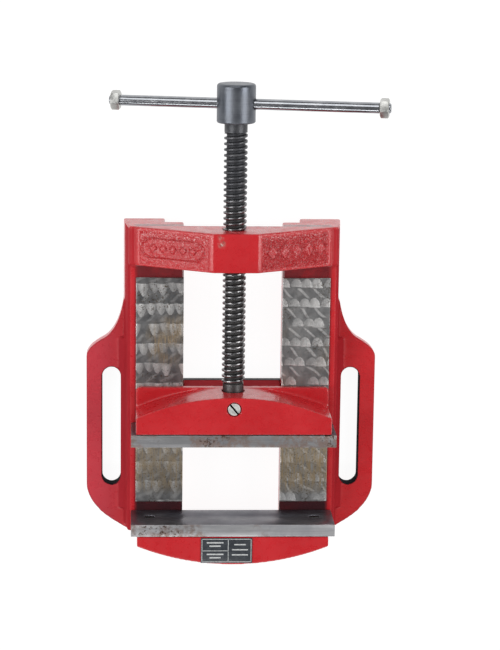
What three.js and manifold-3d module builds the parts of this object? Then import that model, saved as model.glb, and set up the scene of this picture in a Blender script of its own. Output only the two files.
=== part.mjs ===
// Drill-press vise: a cast bed with a fixed jaw, a sliding jaw with a keep plate under the ways,
// a square-thread lead screw in a tapped crossbeam, and a sliding tommy bar.
// Units are millimetres. Z = 0 is the base plane, +Y runs from the handle to the fixed jaw,
// X = 0 is the middle plane, and Y = 0 is the middle of the web under the fixed jaw.
import * as THREE from 'three';
import { mergeVertices } from 'three/addons/utils/BufferGeometryUtils.js';
import Module from 'manifold-3d';

const wasm = await Module();
wasm.setup();

// ---- Driving dimensions -------------------------------------------------------------------

// Jaws
const JAW_WIDTH = 152; // length of each jaw plate
const JAW_DEPTH = 40; // jaw plate height above the ways
const JAW_OPENING = 59.6; // gap between the jaw plates as modelled
const MAX_OPENING = 145.3; // gap with the plain journal next to the crossbeam
const PLATE_THICKNESS = 9;
const PLATE_OVERHANG = 3.5; // plate end beyond the edge of the ways
const PLATE_SCREW_INSET = 14; // screw centre from the plate end
const PLATE_SCREW_HEIGHT = 18; // screw centre above the ways
const CASTING_BELOW_PLATE = 0.6; // jaw castings stop this far under the plate tops
const JAW_SIDE_INSET = 1; // fixed jaw casting inside the edge of the ways
const MOVING_JAW_DEPTH = 28; // behind its plate, in the middle
const MOVING_JAW_END_DEPTH = 12.4; // behind its plate, at the ends
const SOLE_THICKNESS = 5.6; // rectangular foot of the sliding jaw on the ways
const SOLE_CORNER = 4;
const STOP_CLEARANCE = 1.2; // journal shoulder to crossbeam at full opening

// Bed casting
const WAY_Z = 36; // height of the machined ways
const WAY_RELIEF = 1.7; // unmachined surface under the ways
const WAY_END_MARGIN = 6.5; // unmachined strip in front of the fixed jaw plate
const WAY_BEAM_MARGIN = 9.9; // unmachined strip next to the crossbeam
const WINDOW_HALF = 37; // half the gap between the rails
const LIP_WIDTH = 14; // rail lip over the keep plate
const LIP_Z = 16.5; // underside of the rail lips
const SHOULDER_WIDTH = 6.5; // cast shoulder outside the ways
const SHOULDER_RADIUS = 3;
const WALL_DRAFT = 3; // outer wall is this much wider at the base
const WEB_HALF_DEPTH = 10; // web under the fixed jaw, from Y = 0
const WEB_SIDE = 2.5; // web beyond the edge of the ways
const FIXED_SEAT_SETBACK = 2.7; // jaw seat beyond the window end of the web
const FIXED_JAW_SIDE = 7.7; // straight side of the fixed jaw before its curved back

// Crossbeam
const BEAM_DEPTH = 29.2;
const BEAM_SINK = 0.3; // underside below the cast rail tops
const HUB_WALL = 7.8; // hub side from the screw crest
const HUB_ABOVE_SCREW = 22.3; // hub top above the screw axis
const WING_END_RISE = 4.3; // wing end above the ways
const PILLAR_DROP = 1.6; // rounded rib at each beam end, below the wing end
const PILLAR_ROUND = 3.5;
const BEAM_SIDE_INSET = 0.8; // beam end inside the bed shoulder

// Side flanges with bolt slots
const FLANGE_THICKNESS = 12;
const FLANGE_REACH = 28; // beyond the bed wall
const FLANGE_FILLET = 6;
const FLANGE_FRONT_RUN = 44; // length of the S-curve at the handle end
const FLANGE_REAR_RUN = 37; // length of the rounded corner at the fixed jaw end
const FLANGE_TIE = 13; // rear edge runs this far inside the ways, into the curved web
const FLANGE_LENGTH = 100; // straight outer edge
const FLANGE_REAR_Y = -36; // end of the straight outer edge near the fixed jaw
const SLOT_WIDTH = 14;
const SLOT_LENGTH = 92.2;
const SLOT_OFFSET = 9; // slot centre line from the bed wall
const SLOT_PAST_EDGE = 0.4; // slot end beyond the end of the straight outer edge

// Lead screw
const SCREW_ABOVE_WAYS = 13;
const SCREW_DIAMETER = 17.4;
const THREAD_DEPTH = 1.95;
const PITCH = 25.4 / 6;
const FLANK_WIDTH = 0.25; // axial run of each thread flank
const THREAD_CLEARANCE = 0.6; // radial, in the tapped hole
const FLANK_CLEARANCE = 0.2; // axial, in the tapped hole
const THREAD_SIDES = 10;
const JOURNAL_STEP = 1.8; // journal diameter under the thread crest
const JOURNAL_WALL = 8.5; // jaw casting left between the journal and the plate seat
const JOURNAL_EXPOSED = 5.6;
const JOURNAL_END_CHAMFER = 1;
const THREAD_LENGTH = 188.3;
const NECK_LENGTH = 6.5;
const NECK_STEP = 0.4; // neck diameter under the thread crest
const TENON_SHOULDER = 0.75; // tenon inside the thread root
const TENON_LENGTH = 6.5;

// Handle
const HEAD_DIAMETER = 28.5;
const HEAD_LENGTH = 28.7;
const HEAD_EDGE = 2.2;
const BAR_DIAMETER = 8;
const BAR_HOLE_CLEARANCE = 0.9;
const BAR_FROM_HEAD_FACE = 13.9; // bar axis from the inner face of the head
const BAR_LENGTH = 207.7;
const BAR_STUB = 1.5; // thread beyond each nut
const BAR_SLID = 9.5; // bar centre off the screw axis, towards -X
const BAR_ANGLE = THREE.MathUtils.degToRad(12); // the -X end is up
const NUT_WALL = 2.5; // nut flat from the bar surface
const NUT_THICKNESS = 6.5;

// Fasteners
const FIT = 0.3; // gap between pieces that touch
const BOLT_DIAMETER = 8;
const BOLT_HOLE_CLEARANCE = 0.8;
const PLATE_SCREW_DIAMETER = 5;
const COUNTERSUNK_FLARE = 1.6; // head edge beyond the shank
const COUNTERSUNK_RIM = 0.1; // straight edge of the head
const PLATE_SCREW_REACH = 10; // screw length beyond the plate
const SCREW_SLOT_WIDTH = 1.2;
const SCREW_SLOT_DEPTH = 1.2;
const RETAINER_DIAMETER = 9.8;
const RETAINER_CLEARANCE = 0.8; // on the diameter of its hole
const RETAINER_FROM_REAR = 8.8; // axis from the rear face of the sliding jaw
const RETAINER_NOSE_DIAMETER = 6;
const RETAINER_SLOT_WIDTH = 1.3;
const RETAINER_SLOT_ANGLE = THREE.MathUtils.degToRad(-50);
const RETAINER_BELOW_TOP = 0.7;
const GROOVE_DEPTH = 2.1; // in the journal, for the retaining screw nose
const GROOVE_CLEARANCE = 0.8;
const KEEP_THICKNESS = 6.5;
const KEEP_SIDE_GAP = 2; // keep plate end to the foot of the rail
const KEEP_SETBACK = 1.6; // keep plate shorter than the jaw casting
const KEEP_BOLT_X = 20;
const KEEP_BOLT_REACH = 12;
const BOLT_HEAD_RIM = 2.5; // head flat beyond the shank
const BOLT_HEAD_HEIGHT = 5.3;
const WASHER_RIM = 3.2; // washer edge beyond the bolt
const WASHER_THICKNESS = 1.6;
const WASHER_SPLIT = 1.2;

// Label on the fixed jaw
const LABEL_WIDTH = 38.5;
const LABEL_HEIGHT = 19.4;
const LABEL_THICKNESS = 0.5;
const LABEL_X = 4.7;
const LABEL_FROM_PLATE = 0.8;
const LABEL_GLUE = 0.1;

// ---- Derived places -----------------------------------------------------------------------

const WAY_OUTER = JAW_WIDTH / 2 - PLATE_OVERHANG;
const CAST_TOP = WAY_Z - WAY_RELIEF;
const SCREW_Z = WAY_Z + SCREW_ABOVE_WAYS;
const BEAM_UNDERSIDE = CAST_TOP - BEAM_SINK;
const HUB_HALF = SCREW_DIAMETER / 2 + HUB_WALL;
const HUB_TOP = SCREW_Z + HUB_ABOVE_SCREW;
const WING_END_Z = WAY_Z + WING_END_RISE;
const SHOULDER_HALF = WAY_OUTER + SHOULDER_WIDTH;
const BODY_HALF = SHOULDER_HALF + WALL_DRAFT;
const FOOT_INNER = WINDOW_HALF + LIP_WIDTH;
const JAW_TOP = WAY_Z + JAW_DEPTH;
const JAW_CASTING_TOP = JAW_TOP - CASTING_BELOW_PLATE;

const WINDOW_END_Y = -WEB_HALF_DEPTH;
const FIXED_SEAT_Y = WINDOW_END_Y - FIXED_SEAT_SETBACK;
const FIXED_PLATE_BACK_Y = FIXED_SEAT_Y - FIT;
const CLAMP_Y = FIXED_PLATE_BACK_Y - PLATE_THICKNESS;
const MOVING_FACE_Y = CLAMP_Y - JAW_OPENING;
const MOVING_SEAT_Y = MOVING_FACE_Y - PLATE_THICKNESS - FIT;
const MOVING_REAR_Y = MOVING_SEAT_Y - MOVING_JAW_DEPTH;

const THREAD_ROOT_DIAMETER = SCREW_DIAMETER - 2 * THREAD_DEPTH;
const TENON_DIAMETER = THREAD_ROOT_DIAMETER - 2 * TENON_SHOULDER;
const JOURNAL_DIAMETER = SCREW_DIAMETER - JOURNAL_STEP;
const NECK_DIAMETER = SCREW_DIAMETER - NECK_STEP;
const JOURNAL_END_Y = MOVING_SEAT_Y - JOURNAL_WALL;
const THREAD_START_Y = MOVING_REAR_Y - JOURNAL_EXPOSED;
const BEAM_REAR_Y = THREAD_START_Y - (MAX_OPENING - JAW_OPENING) - STOP_CLEARANCE;
const BEAM_FRONT_Y = BEAM_REAR_Y - BEAM_DEPTH;
const THREAD_END_Y = THREAD_START_Y - THREAD_LENGTH;
const HEAD_FACE_Y = THREAD_END_Y - NECK_LENGTH;
const BAR_Y = HEAD_FACE_Y - BAR_FROM_HEAD_FACE;
const RETAINER_Y = MOVING_REAR_Y + RETAINER_FROM_REAR;
const RETAINER_HOLE = RETAINER_DIAMETER + RETAINER_CLEARANCE;
const GROOVE_RADIUS = JOURNAL_DIAMETER / 2 - GROOVE_DEPTH;
const GROOVE_HALF = (RETAINER_NOSE_DIAMETER + GROOVE_CLEARANCE) / 2;

const NUT_ACROSS_FLATS = BAR_DIAMETER + 2 * NUT_WALL;
const COUNTERSUNK_DIAMETER = PLATE_SCREW_DIAMETER + 2 * COUNTERSUNK_FLARE;
const COUNTERSUNK_DEPTH = COUNTERSUNK_FLARE + COUNTERSUNK_RIM;
const SLOT_REAR_Y = FLANGE_REAR_Y + SLOT_PAST_EDGE;

const TONGUE_BOTTOM = LIP_Z - FIT;
const SOLE_BOTTOM = WAY_Z + FIT;
const KEEP_TOP = TONGUE_BOTTOM - FIT;
const KEEP_BOTTOM = KEEP_TOP - KEEP_THICKNESS;
const KEEP_HALF = FOOT_INNER - KEEP_SIDE_GAP;
const KEEP_DEPTH = MOVING_JAW_DEPTH - KEEP_SETBACK;
const KEEP_BOLT_Y = MOVING_REAR_Y + KEEP_DEPTH / 2;
const BOLT_HEAD_FLATS = BOLT_DIAMETER + 2 * BOLT_HEAD_RIM;
const WASHER_DIAMETER = BOLT_DIAMETER + 2 * WASHER_RIM;
const WASHER_TOP = KEEP_BOTTOM - FIT / 3;
const BOLT_HEAD_TOP = WASHER_TOP - WASHER_THICKNESS - FIT / 3;

const ROUND_SIDES = 24;
const SMALL_SIDES = 16;
const OUTLINE_SEGMENTS = 12;
const FILLET_SEGMENTS = 4;

// ---- Solids -------------------------------------------------------------------------------

function toSolid(geometry) {
  geometry.deleteAttribute('normal');
  geometry.deleteAttribute('uv');
  const merged = mergeVertices(geometry);
  const index = merged.index.array;
  const kept = [];
  for (let i = 0; i < index.length; i += 3) {
    const [a, b, c] = [index[i], index[i + 1], index[i + 2]];
    if (a !== b && b !== c && c !== a) kept.push(a, b, c);
  }
  const vertProperties = new Float32Array(merged.attributes.position.array);
  const triVerts = new Uint32Array(kept);
  return new wasm.Manifold(new wasm.Mesh({ numProp: 3, vertProperties, triVerts }));
}

function toGeometry(solid) {
  const { vertProperties, triVerts } = solid.getMesh();
  const geometry = new THREE.BufferGeometry();
  geometry.setAttribute('position', new THREE.BufferAttribute(vertProperties, 3));
  geometry.setIndex(new THREE.BufferAttribute(triVerts, 1));
  return geometry;
}

function joined(solids) {
  return solids.reduce((whole, solid) => whole.add(solid));
}

function cut(solid, tools) {
  return tools.reduce((rest, tool) => rest.subtract(tool), solid);
}

function block(xFrom, xTo, yFrom, yTo, zFrom, zTo) {
  const geometry = new THREE.BoxGeometry(xTo - xFrom, yTo - yFrom, zTo - zFrom);
  geometry.translate((xFrom + xTo) / 2, (yFrom + yTo) / 2, (zFrom + zTo) / 2);
  return toSolid(geometry);
}

function uprightPrism(shape, zFrom, zTo) {
  const options = { depth: zTo - zFrom, bevelEnabled: false, curveSegments: OUTLINE_SEGMENTS };
  const geometry = new THREE.ExtrudeGeometry(shape, options);
  geometry.translate(0, 0, zFrom);
  return toSolid(geometry);
}

// A section drawn in X and Z, extruded along Y.
function lengthwisePrism(shape, yFrom, yTo) {
  const options = { depth: yTo - yFrom, bevelEnabled: false, curveSegments: FILLET_SEGMENTS };
  const geometry = new THREE.ExtrudeGeometry(shape, options);
  geometry.rotateX(Math.PI / 2);
  geometry.translate(0, yTo, 0);
  return toSolid(geometry);
}

// A profile of [radius, height] pairs that starts and ends on the axis, turned about Z.
function turned(profile, x, y, sides = SMALL_SIDES) {
  const points = profile.map(([radius, height]) => new THREE.Vector2(radius, height));
  const geometry = new THREE.LatheGeometry(points, sides);
  geometry.rotateX(Math.PI / 2);
  geometry.translate(x, y, 0);
  return toSolid(geometry);
}

// The same about an axis along Y: pairs are [radius, Y], with Y rising.
function turnedAlongY(profile, x, z, sides = SMALL_SIDES) {
  const points = profile.map(([radius, y]) => new THREE.Vector2(radius, y));
  const geometry = new THREE.LatheGeometry(points, sides);
  geometry.translate(x, 0, z);
  return toSolid(geometry);
}

function rodAlongZ(diameter, x, y, zFrom, zTo, sides = SMALL_SIDES) {
  const geometry = new THREE.CylinderGeometry(diameter / 2, diameter / 2, zTo - zFrom, sides);
  geometry.rotateX(Math.PI / 2);
  geometry.translate(x, y, (zFrom + zTo) / 2);
  return toSolid(geometry);
}

function rodAlongY(diameter, x, z, yFrom, yTo, sides = SMALL_SIDES) {
  const geometry = new THREE.CylinderGeometry(diameter / 2, diameter / 2, yTo - yFrom, sides);
  geometry.translate(x, (yFrom + yTo) / 2, z);
  return toSolid(geometry);
}

function rodAlongX(diameter, xFrom, xTo, sides = SMALL_SIDES) {
  const geometry = new THREE.CylinderGeometry(diameter / 2, diameter / 2, xTo - xFrom, sides);
  geometry.rotateZ(Math.PI / 2);
  geometry.translate((xFrom + xTo) / 2, 0, 0);
  return toSolid(geometry);
}

function acrossCorners(acrossFlats) {
  return acrossFlats / Math.cos(Math.PI / 6);
}

// A right-hand thread along Y about (0, SCREW_Z). Its crest starts at Y = 0 on the upper side,
// so a rod and a tapped hole made from the same pitch always mesh.
function threadSolid(crestRadius, rootRadius, crestWiden, yFrom, yTo) {
  const crest = PITCH / 2 - FLANK_WIDTH + 2 * crestWiden;
  const section = [
    [rootRadius, -PITCH / 2],
    [rootRadius, -crest / 2 - FLANK_WIDTH],
    [crestRadius, -crest / 2],
    [crestRadius, crest / 2],
    [rootRadius, crest / 2 + FLANK_WIDTH],
  ];
  const perTurn = section.length - 1;
  const firstTurn = Math.floor(yFrom / PITCH) - 2;
  const turns = Math.ceil(yTo / PITCH) + 2 - firstTurn;
  const positions = [];
  const pointIndex = (step, row) => step * (perTurn * turns + 1) + row;
  const rows = perTurn * turns;
  for (let step = 0; step <= THREAD_SIDES; step += 1) {
    const angle = (step / THREAD_SIDES) * 2 * Math.PI;
    for (let row = 0; row <= rows; row += 1) {
      const [radius, offset] = section[row % perTurn];
      const turn = firstTurn + Math.floor(row / perTurn) + step / THREAD_SIDES;
      const y = turn * PITCH + offset;
      positions.push(radius * Math.sin(angle), y, SCREW_Z + radius * Math.cos(angle));
    }
  }
  const triangles = [];
  for (let step = 0; step < THREAD_SIDES; step += 1) {
    for (let row = 0; row < rows; row += 1) {
      const a = pointIndex(step, row);
      const b = pointIndex(step + 1, row);
      const c = pointIndex(step + 1, row + 1);
      const d = pointIndex(step, row + 1);
      triangles.push(a, b, c, a, c, d);
    }
  }
  addThreadEnd(positions, triangles, pointIndex, rows, perTurn, true);
  addThreadEnd(positions, triangles, pointIndex, rows, perTurn, false);
  const geometry = new THREE.BufferGeometry();
  geometry.setAttribute('position', new THREE.Float32BufferAttribute(positions, 3));
  geometry.setIndex(triangles);
  const trim = block(-crestRadius - 1, crestRadius + 1, yFrom, yTo, 0, HUB_TOP + JAW_DEPTH);
  return toSolid(geometry).intersect(trim);
}

// Closes one end of the thread with a fan from a point on the axis.
function addThreadEnd(positions, triangles, pointIndex, rows, perTurn, low) {
  const loop = [];
  const edgeRow = low ? 0 : rows;
  for (let step = 0; step <= THREAD_SIDES; step += 1) loop.push(pointIndex(step, edgeRow));
  for (let row = 1; row < perTurn; row += 1) {
    loop.push(low ? pointIndex(0, perTurn - row) : pointIndex(THREAD_SIDES, rows - perTurn + perTurn - row));
  }
  const middle = positions.length / 3;
  const yMiddle = positions[3 * loop[0] + 1] + PITCH / 2;
  positions.push(0, yMiddle, SCREW_Z);
  for (let i = 0; i < loop.length; i += 1) {
    const next = loop[(i + 1) % loop.length];
    if (low) triangles.push(middle, next, loop[i]);
    else triangles.push(middle, loop[i], next);
  }
}

// ---- Outlines -----------------------------------------------------------------------------

// Adds an arc from (half, yEnd) to (-half, yEnd) with its middle at (0, yMiddle).
function addCurvedBack(shape, half, yEnd, yMiddle) {
  const rise = yMiddle - yEnd;
  const radius = (half * half + rise * rise) / (2 * Math.abs(rise));
  const yCentre = yMiddle - Math.sign(rise) * radius;
  const startAngle = Math.atan2(yEnd - yCentre, half);
  const endAngle = Math.atan2(yEnd - yCentre, -half);
  shape.absarc(0, yCentre, radius, startAngle, endAngle, rise < 0);
}

function railSection(side) {
  const shape = new THREE.Shape();
  shape.moveTo(side * WINDOW_HALF, LIP_Z);
  shape.lineTo(side * FOOT_INNER, LIP_Z);
  shape.lineTo(side * FOOT_INNER, 0);
  shape.lineTo(side * BODY_HALF, 0);
  shape.lineTo(side * SHOULDER_HALF, CAST_TOP - SHOULDER_RADIUS);
  shape.quadraticCurveTo(
    side * SHOULDER_HALF,
    CAST_TOP,
    side * (SHOULDER_HALF - SHOULDER_RADIUS),
    CAST_TOP,
  );
  shape.lineTo(side * WINDOW_HALF, CAST_TOP);
  shape.closePath();
  return shape;
}

function beamSection() {
  const shape = new THREE.Shape();
  const ends = SHOULDER_HALF - BEAM_SIDE_INSET;
  const pillar = WING_END_Z - PILLAR_DROP;
  shape.moveTo(-ends, CAST_TOP - SHOULDER_RADIUS);
  shape.lineTo(-ends, pillar - PILLAR_ROUND);
  shape.quadraticCurveTo(-ends, pillar, -ends + PILLAR_ROUND, pillar);
  shape.lineTo(-WAY_OUTER, pillar);
  shape.lineTo(-WAY_OUTER, WING_END_Z);
  shape.lineTo(-HUB_HALF, HUB_TOP);
  shape.lineTo(HUB_HALF, HUB_TOP);
  shape.lineTo(WAY_OUTER, WING_END_Z);
  shape.lineTo(WAY_OUTER, pillar);
  shape.lineTo(ends - PILLAR_ROUND, pillar);
  shape.quadraticCurveTo(ends, pillar, ends, pillar - PILLAR_ROUND);
  shape.lineTo(ends, CAST_TOP - SHOULDER_RADIUS);
  shape.lineTo(FOOT_INNER, LIP_Z + LIP_WIDTH / 2);
  shape.lineTo(WINDOW_HALF, LIP_Z + LIP_WIDTH / 2);
  shape.lineTo(WINDOW_HALF, BEAM_UNDERSIDE);
  shape.lineTo(-WINDOW_HALF, BEAM_UNDERSIDE);
  shape.lineTo(-WINDOW_HALF, LIP_Z + LIP_WIDTH / 2);
  shape.lineTo(-FOOT_INNER, LIP_Z + LIP_WIDTH / 2);
  shape.closePath();
  return shape;
}

// Plan of the web end of the bed, under the fixed jaw.
function webOutline() {
  const half = WAY_OUTER + WEB_SIDE;
  const backEnd = FIXED_SEAT_Y + FIXED_JAW_SIDE;
  const shape = new THREE.Shape();
  shape.moveTo(-half, WINDOW_END_Y);
  shape.lineTo(half, WINDOW_END_Y);
  shape.lineTo(half, backEnd);
  addCurvedBack(shape, half, backEnd, WEB_HALF_DEPTH);
  shape.closePath();
  return shape;
}

function fixedJawOutline() {
  const half = WAY_OUTER - JAW_SIDE_INSET;
  const shape = new THREE.Shape();
  shape.moveTo(-half, FIXED_SEAT_Y);
  shape.lineTo(half, FIXED_SEAT_Y);
  shape.lineTo(half, FIXED_SEAT_Y + FIXED_JAW_SIDE);
  addCurvedBack(shape, half, FIXED_SEAT_Y + FIXED_JAW_SIDE, WEB_HALF_DEPTH - JAW_SIDE_INSET);
  shape.closePath();
  return shape;
}

function movingJawOutline() {
  const shape = new THREE.Shape();
  shape.moveTo(-WAY_OUTER, MOVING_SEAT_Y);
  shape.lineTo(WAY_OUTER, MOVING_SEAT_Y);
  shape.lineTo(WAY_OUTER, MOVING_SEAT_Y - MOVING_JAW_END_DEPTH);
  addCurvedBack(shape, WAY_OUTER, MOVING_SEAT_Y - MOVING_JAW_END_DEPTH, MOVING_REAR_Y);
  shape.closePath();
  return shape;
}

function soleOutline() {
  const shape = new THREE.Shape();
  shape.moveTo(-WAY_OUTER, MOVING_SEAT_Y);
  shape.lineTo(WAY_OUTER, MOVING_SEAT_Y);
  shape.lineTo(WAY_OUTER, MOVING_REAR_Y + SOLE_CORNER);
  shape.quadraticCurveTo(WAY_OUTER, MOVING_REAR_Y, WAY_OUTER - SOLE_CORNER, MOVING_REAR_Y);
  shape.lineTo(-WAY_OUTER + SOLE_CORNER, MOVING_REAR_Y);
  shape.quadraticCurveTo(-WAY_OUTER, MOVING_REAR_Y, -WAY_OUTER, MOVING_REAR_Y + SOLE_CORNER);
  shape.closePath();
  return shape;
}

// Plan of one side flange, from inside the bed wall to its outer edge.
function flangeOutline(side) {
  const inside = WAY_OUTER;
  const outer = BODY_HALF + FLANGE_REACH;
  const frontEdge = FLANGE_REAR_Y - FLANGE_LENGTH;
  const frontTip = frontEdge - FLANGE_FRONT_RUN;
  const rearTip = FLANGE_REAR_Y + FLANGE_REAR_RUN;
  const waist = BODY_HALF + FLANGE_REACH / 2;
  const shape = new THREE.Shape();
  shape.moveTo(side * inside, frontTip);
  shape.lineTo(side * BODY_HALF, frontTip);
  shape.quadraticCurveTo(
    side * (BODY_HALF + FLANGE_REACH / 8),
    frontEdge - FLANGE_FRONT_RUN / 2,
    side * waist,
    frontEdge - FLANGE_FRONT_RUN / 3,
  );
  shape.quadraticCurveTo(side * outer, frontEdge - FLANGE_FRONT_RUN / 6, side * outer, frontEdge);
  shape.lineTo(side * outer, FLANGE_REAR_Y);
  shape.quadraticCurveTo(
    side * outer,
    FLANGE_REAR_Y + FLANGE_REAR_RUN / 3,
    side * waist,
    FLANGE_REAR_Y + (FLANGE_REAR_RUN * 2) / 3,
  );
  shape.quadraticCurveTo(
    side * (JAW_WIDTH / 2 + FLANGE_REACH / 4),
    rearTip - FLANGE_REAR_RUN / 12,
    (side * JAW_WIDTH) / 2,
    rearTip,
  );
  shape.lineTo(side * (WAY_OUTER - FLANGE_TIE), rearTip);
  shape.lineTo(side * inside, WINDOW_END_Y);
  shape.closePath();
  return shape;
}

function slotOutline(side) {
  const x = side * (BODY_HALF + SLOT_OFFSET);
  const radius = SLOT_WIDTH / 2;
  const yRear = SLOT_REAR_Y - radius;
  const yFront = SLOT_REAR_Y - SLOT_LENGTH + radius;
  const shape = new THREE.Shape();
  shape.moveTo(x + radius, yFront);
  shape.absarc(x, yRear, radius, 0, Math.PI, false);
  shape.absarc(x, yFront, radius, Math.PI, 2 * Math.PI, false);
  return shape;
}

// Hollow fillet between the flange and the bed wall, as a section in X and Z.
function filletSection(side) {
  const shape = new THREE.Shape();
  const root = FLANGE_THICKNESS - 1;
  shape.moveTo(side * SHOULDER_HALF, root);
  shape.lineTo(side * (BODY_HALF + FLANGE_FILLET), root);
  shape.lineTo(side * (BODY_HALF + FLANGE_FILLET), FLANGE_THICKNESS);
  shape.quadraticCurveTo(
    side * BODY_HALF,
    FLANGE_THICKNESS,
    side * (BODY_HALF - WALL_DRAFT / 2),
    FLANGE_THICKNESS + FLANGE_FILLET,
  );
  shape.lineTo(side * SHOULDER_HALF, FLANGE_THICKNESS + FLANGE_FILLET);
  shape.closePath();
  return shape;
}

// ---- Bed and fixed jaw --------------------------------------------------------------------

function bodySide(side) {
  const wayRear = CLAMP_Y - WAY_END_MARGIN;
  const wayFront = BEAM_REAR_Y + WAY_BEAM_MARGIN;
  const [xLow, xHigh] = [side * WINDOW_HALF, side * WAY_OUTER].sort((a, b) => a - b);
  const rail = lengthwisePrism(railSection(side), BEAM_FRONT_Y, FIXED_SEAT_Y + FIXED_JAW_SIDE);
  const way = block(xLow, xHigh, wayFront, wayRear, CAST_TOP - 1, WAY_Z);
  const flange = uprightPrism(flangeOutline(side), 0, FLANGE_THICKNESS);
  const filletFront = FLANGE_REAR_Y - FLANGE_LENGTH - FLANGE_FRONT_RUN / 3;
  const filletRear = FLANGE_REAR_Y + FLANGE_REAR_RUN / 2;
  const fillet = lengthwisePrism(filletSection(side), filletFront, filletRear);
  const slot = uprightPrism(slotOutline(side), -1, CAST_TOP);
  return cut(joined([rail, way, flange, fillet]), [slot]);
}

function plateScrewXs() {
  const x = JAW_WIDTH / 2 - PLATE_SCREW_INSET;
  return [-x, x];
}

// Tapped hole for a plate screw, drilled along Y from the seat of the jaw casting.
function plateScrewHole(x, seatY, inwards) {
  const depth = PLATE_SCREW_REACH + 1;
  const end = seatY + inwards * depth;
  const mouth = seatY - inwards;
  const diameter = PLATE_SCREW_DIAMETER + BOLT_HOLE_CLEARANCE;
  return rodAlongY(diameter, x, WAY_Z + PLATE_SCREW_HEIGHT, Math.min(end, mouth), Math.max(end, mouth));
}

function bodyCasting() {
  const web = uprightPrism(webOutline(), 0, CAST_TOP);
  const jaw = uprightPrism(fixedJawOutline(), CAST_TOP - 1, JAW_CASTING_TOP);
  const beam = lengthwisePrism(beamSection(), BEAM_FRONT_Y, BEAM_REAR_Y);
  const whole = joined([bodySide(-1), bodySide(1), web, jaw, beam]);
  const tappedHole = threadSolid(
    SCREW_DIAMETER / 2 + THREAD_CLEARANCE,
    THREAD_ROOT_DIAMETER / 2 + THREAD_CLEARANCE,
    FLANK_CLEARANCE,
    BEAM_FRONT_Y - 1,
    BEAM_REAR_Y + 1,
  );
  const screwHoles = plateScrewXs().map((x) => plateScrewHole(x, FIXED_SEAT_Y, 1));
  return cut(whole, [tappedHole, ...screwHoles]);
}

// ---- Jaw plates ---------------------------------------------------------------------------

// A countersunk solid about an axis along Y at the plate screw height. It opens at faceY.
function countersunk(x, faceY, inwards, grow, length, slotted) {
  const head = COUNTERSUNK_DIAMETER / 2 + grow;
  const shank = PLATE_SCREW_DIAMETER / 2 + grow;
  const neck = COUNTERSUNK_DEPTH + grow;
  const start = slotted ? FIT : -1;
  const along = [
    [0, start],
    [head, start],
    [head, slotted ? FIT + 0.2 : 0.2],
    [shank, neck],
    [shank, length],
    [0, length],
  ];
  const profile = along.map(([radius, depth]) => [radius, faceY + inwards * depth]);
  if (inwards < 0) profile.reverse();
  return turnedAlongY(profile, x, WAY_Z + PLATE_SCREW_HEIGHT);
}

// inwards is the direction along Y from the clamping face into the jaw.
function jawPlate(faceY, inwards) {
  const yFrom = Math.min(faceY, faceY + inwards * PLATE_THICKNESS);
  const plate = block(
    -JAW_WIDTH / 2, JAW_WIDTH / 2, yFrom, yFrom + PLATE_THICKNESS, SOLE_BOTTOM, JAW_TOP,
  );
  const clearance = BOLT_HOLE_CLEARANCE / 2;
  const through = PLATE_THICKNESS + 1;
  return cut(plate, plateScrewXs().map((x) => countersunk(x, faceY, inwards, clearance, through, false)));
}

function plateScrew(x, faceY, inwards) {
  const length = PLATE_THICKNESS + PLATE_SCREW_REACH;
  const screw = countersunk(x, faceY, inwards, 0, length, true);
  const z = WAY_Z + PLATE_SCREW_HEIGHT;
  const depth = faceY + inwards * (FIT + SCREW_SLOT_DEPTH);
  const [yLow, yHigh] = [faceY - inwards, depth].sort((a, b) => a - b);
  const reach = COUNTERSUNK_DIAMETER;
  const half = SCREW_SLOT_WIDTH / 2;
  return cut(screw, [block(x - reach, x + reach, yLow, yHigh, z - half, z + half)]);
}

function labelPlate() {
  const yFrom = FIXED_SEAT_Y + LABEL_FROM_PLATE;
  const zFrom = JAW_CASTING_TOP + LABEL_GLUE;
  return block(
    LABEL_X - LABEL_WIDTH / 2, LABEL_X + LABEL_WIDTH / 2,
    yFrom, yFrom + LABEL_HEIGHT,
    zFrom, zFrom + LABEL_THICKNESS,
  );
}

// ---- Sliding jaw --------------------------------------------------------------------------

function movingJaw() {
  const crescent = uprightPrism(movingJawOutline(), SOLE_BOTTOM, JAW_CASTING_TOP);
  const sole = uprightPrism(soleOutline(), SOLE_BOTTOM, SOLE_BOTTOM + SOLE_THICKNESS);
  const tongueHalf = WINDOW_HALF - FIT;
  const tongue = block(
    -tongueHalf, tongueHalf, MOVING_REAR_Y, MOVING_SEAT_Y - 1, TONGUE_BOTTOM, SOLE_BOTTOM + 1,
  );
  const journalBore = rodAlongY(
    JOURNAL_DIAMETER + 2 * BOLT_HOLE_CLEARANCE, 0, SCREW_Z,
    MOVING_REAR_Y - 1, JOURNAL_END_Y + FIT,
    ROUND_SIDES,
  );
  const retainerHole = rodAlongZ(RETAINER_HOLE, 0, RETAINER_Y, SCREW_Z, JAW_TOP + 1);
  const boltHoles = [-KEEP_BOLT_X, KEEP_BOLT_X].map((x) => rodAlongZ(
    BOLT_DIAMETER + BOLT_HOLE_CLEARANCE, x, KEEP_BOLT_Y,
    TONGUE_BOTTOM - 1, TONGUE_BOTTOM + KEEP_BOLT_REACH + 1,
  ));
  const screwHoles = plateScrewXs().map((x) => plateScrewHole(x, MOVING_SEAT_Y, -1));
  return cut(joined([crescent, sole, tongue]), [journalBore, retainerHole, ...boltHoles, ...screwHoles]);
}

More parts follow.
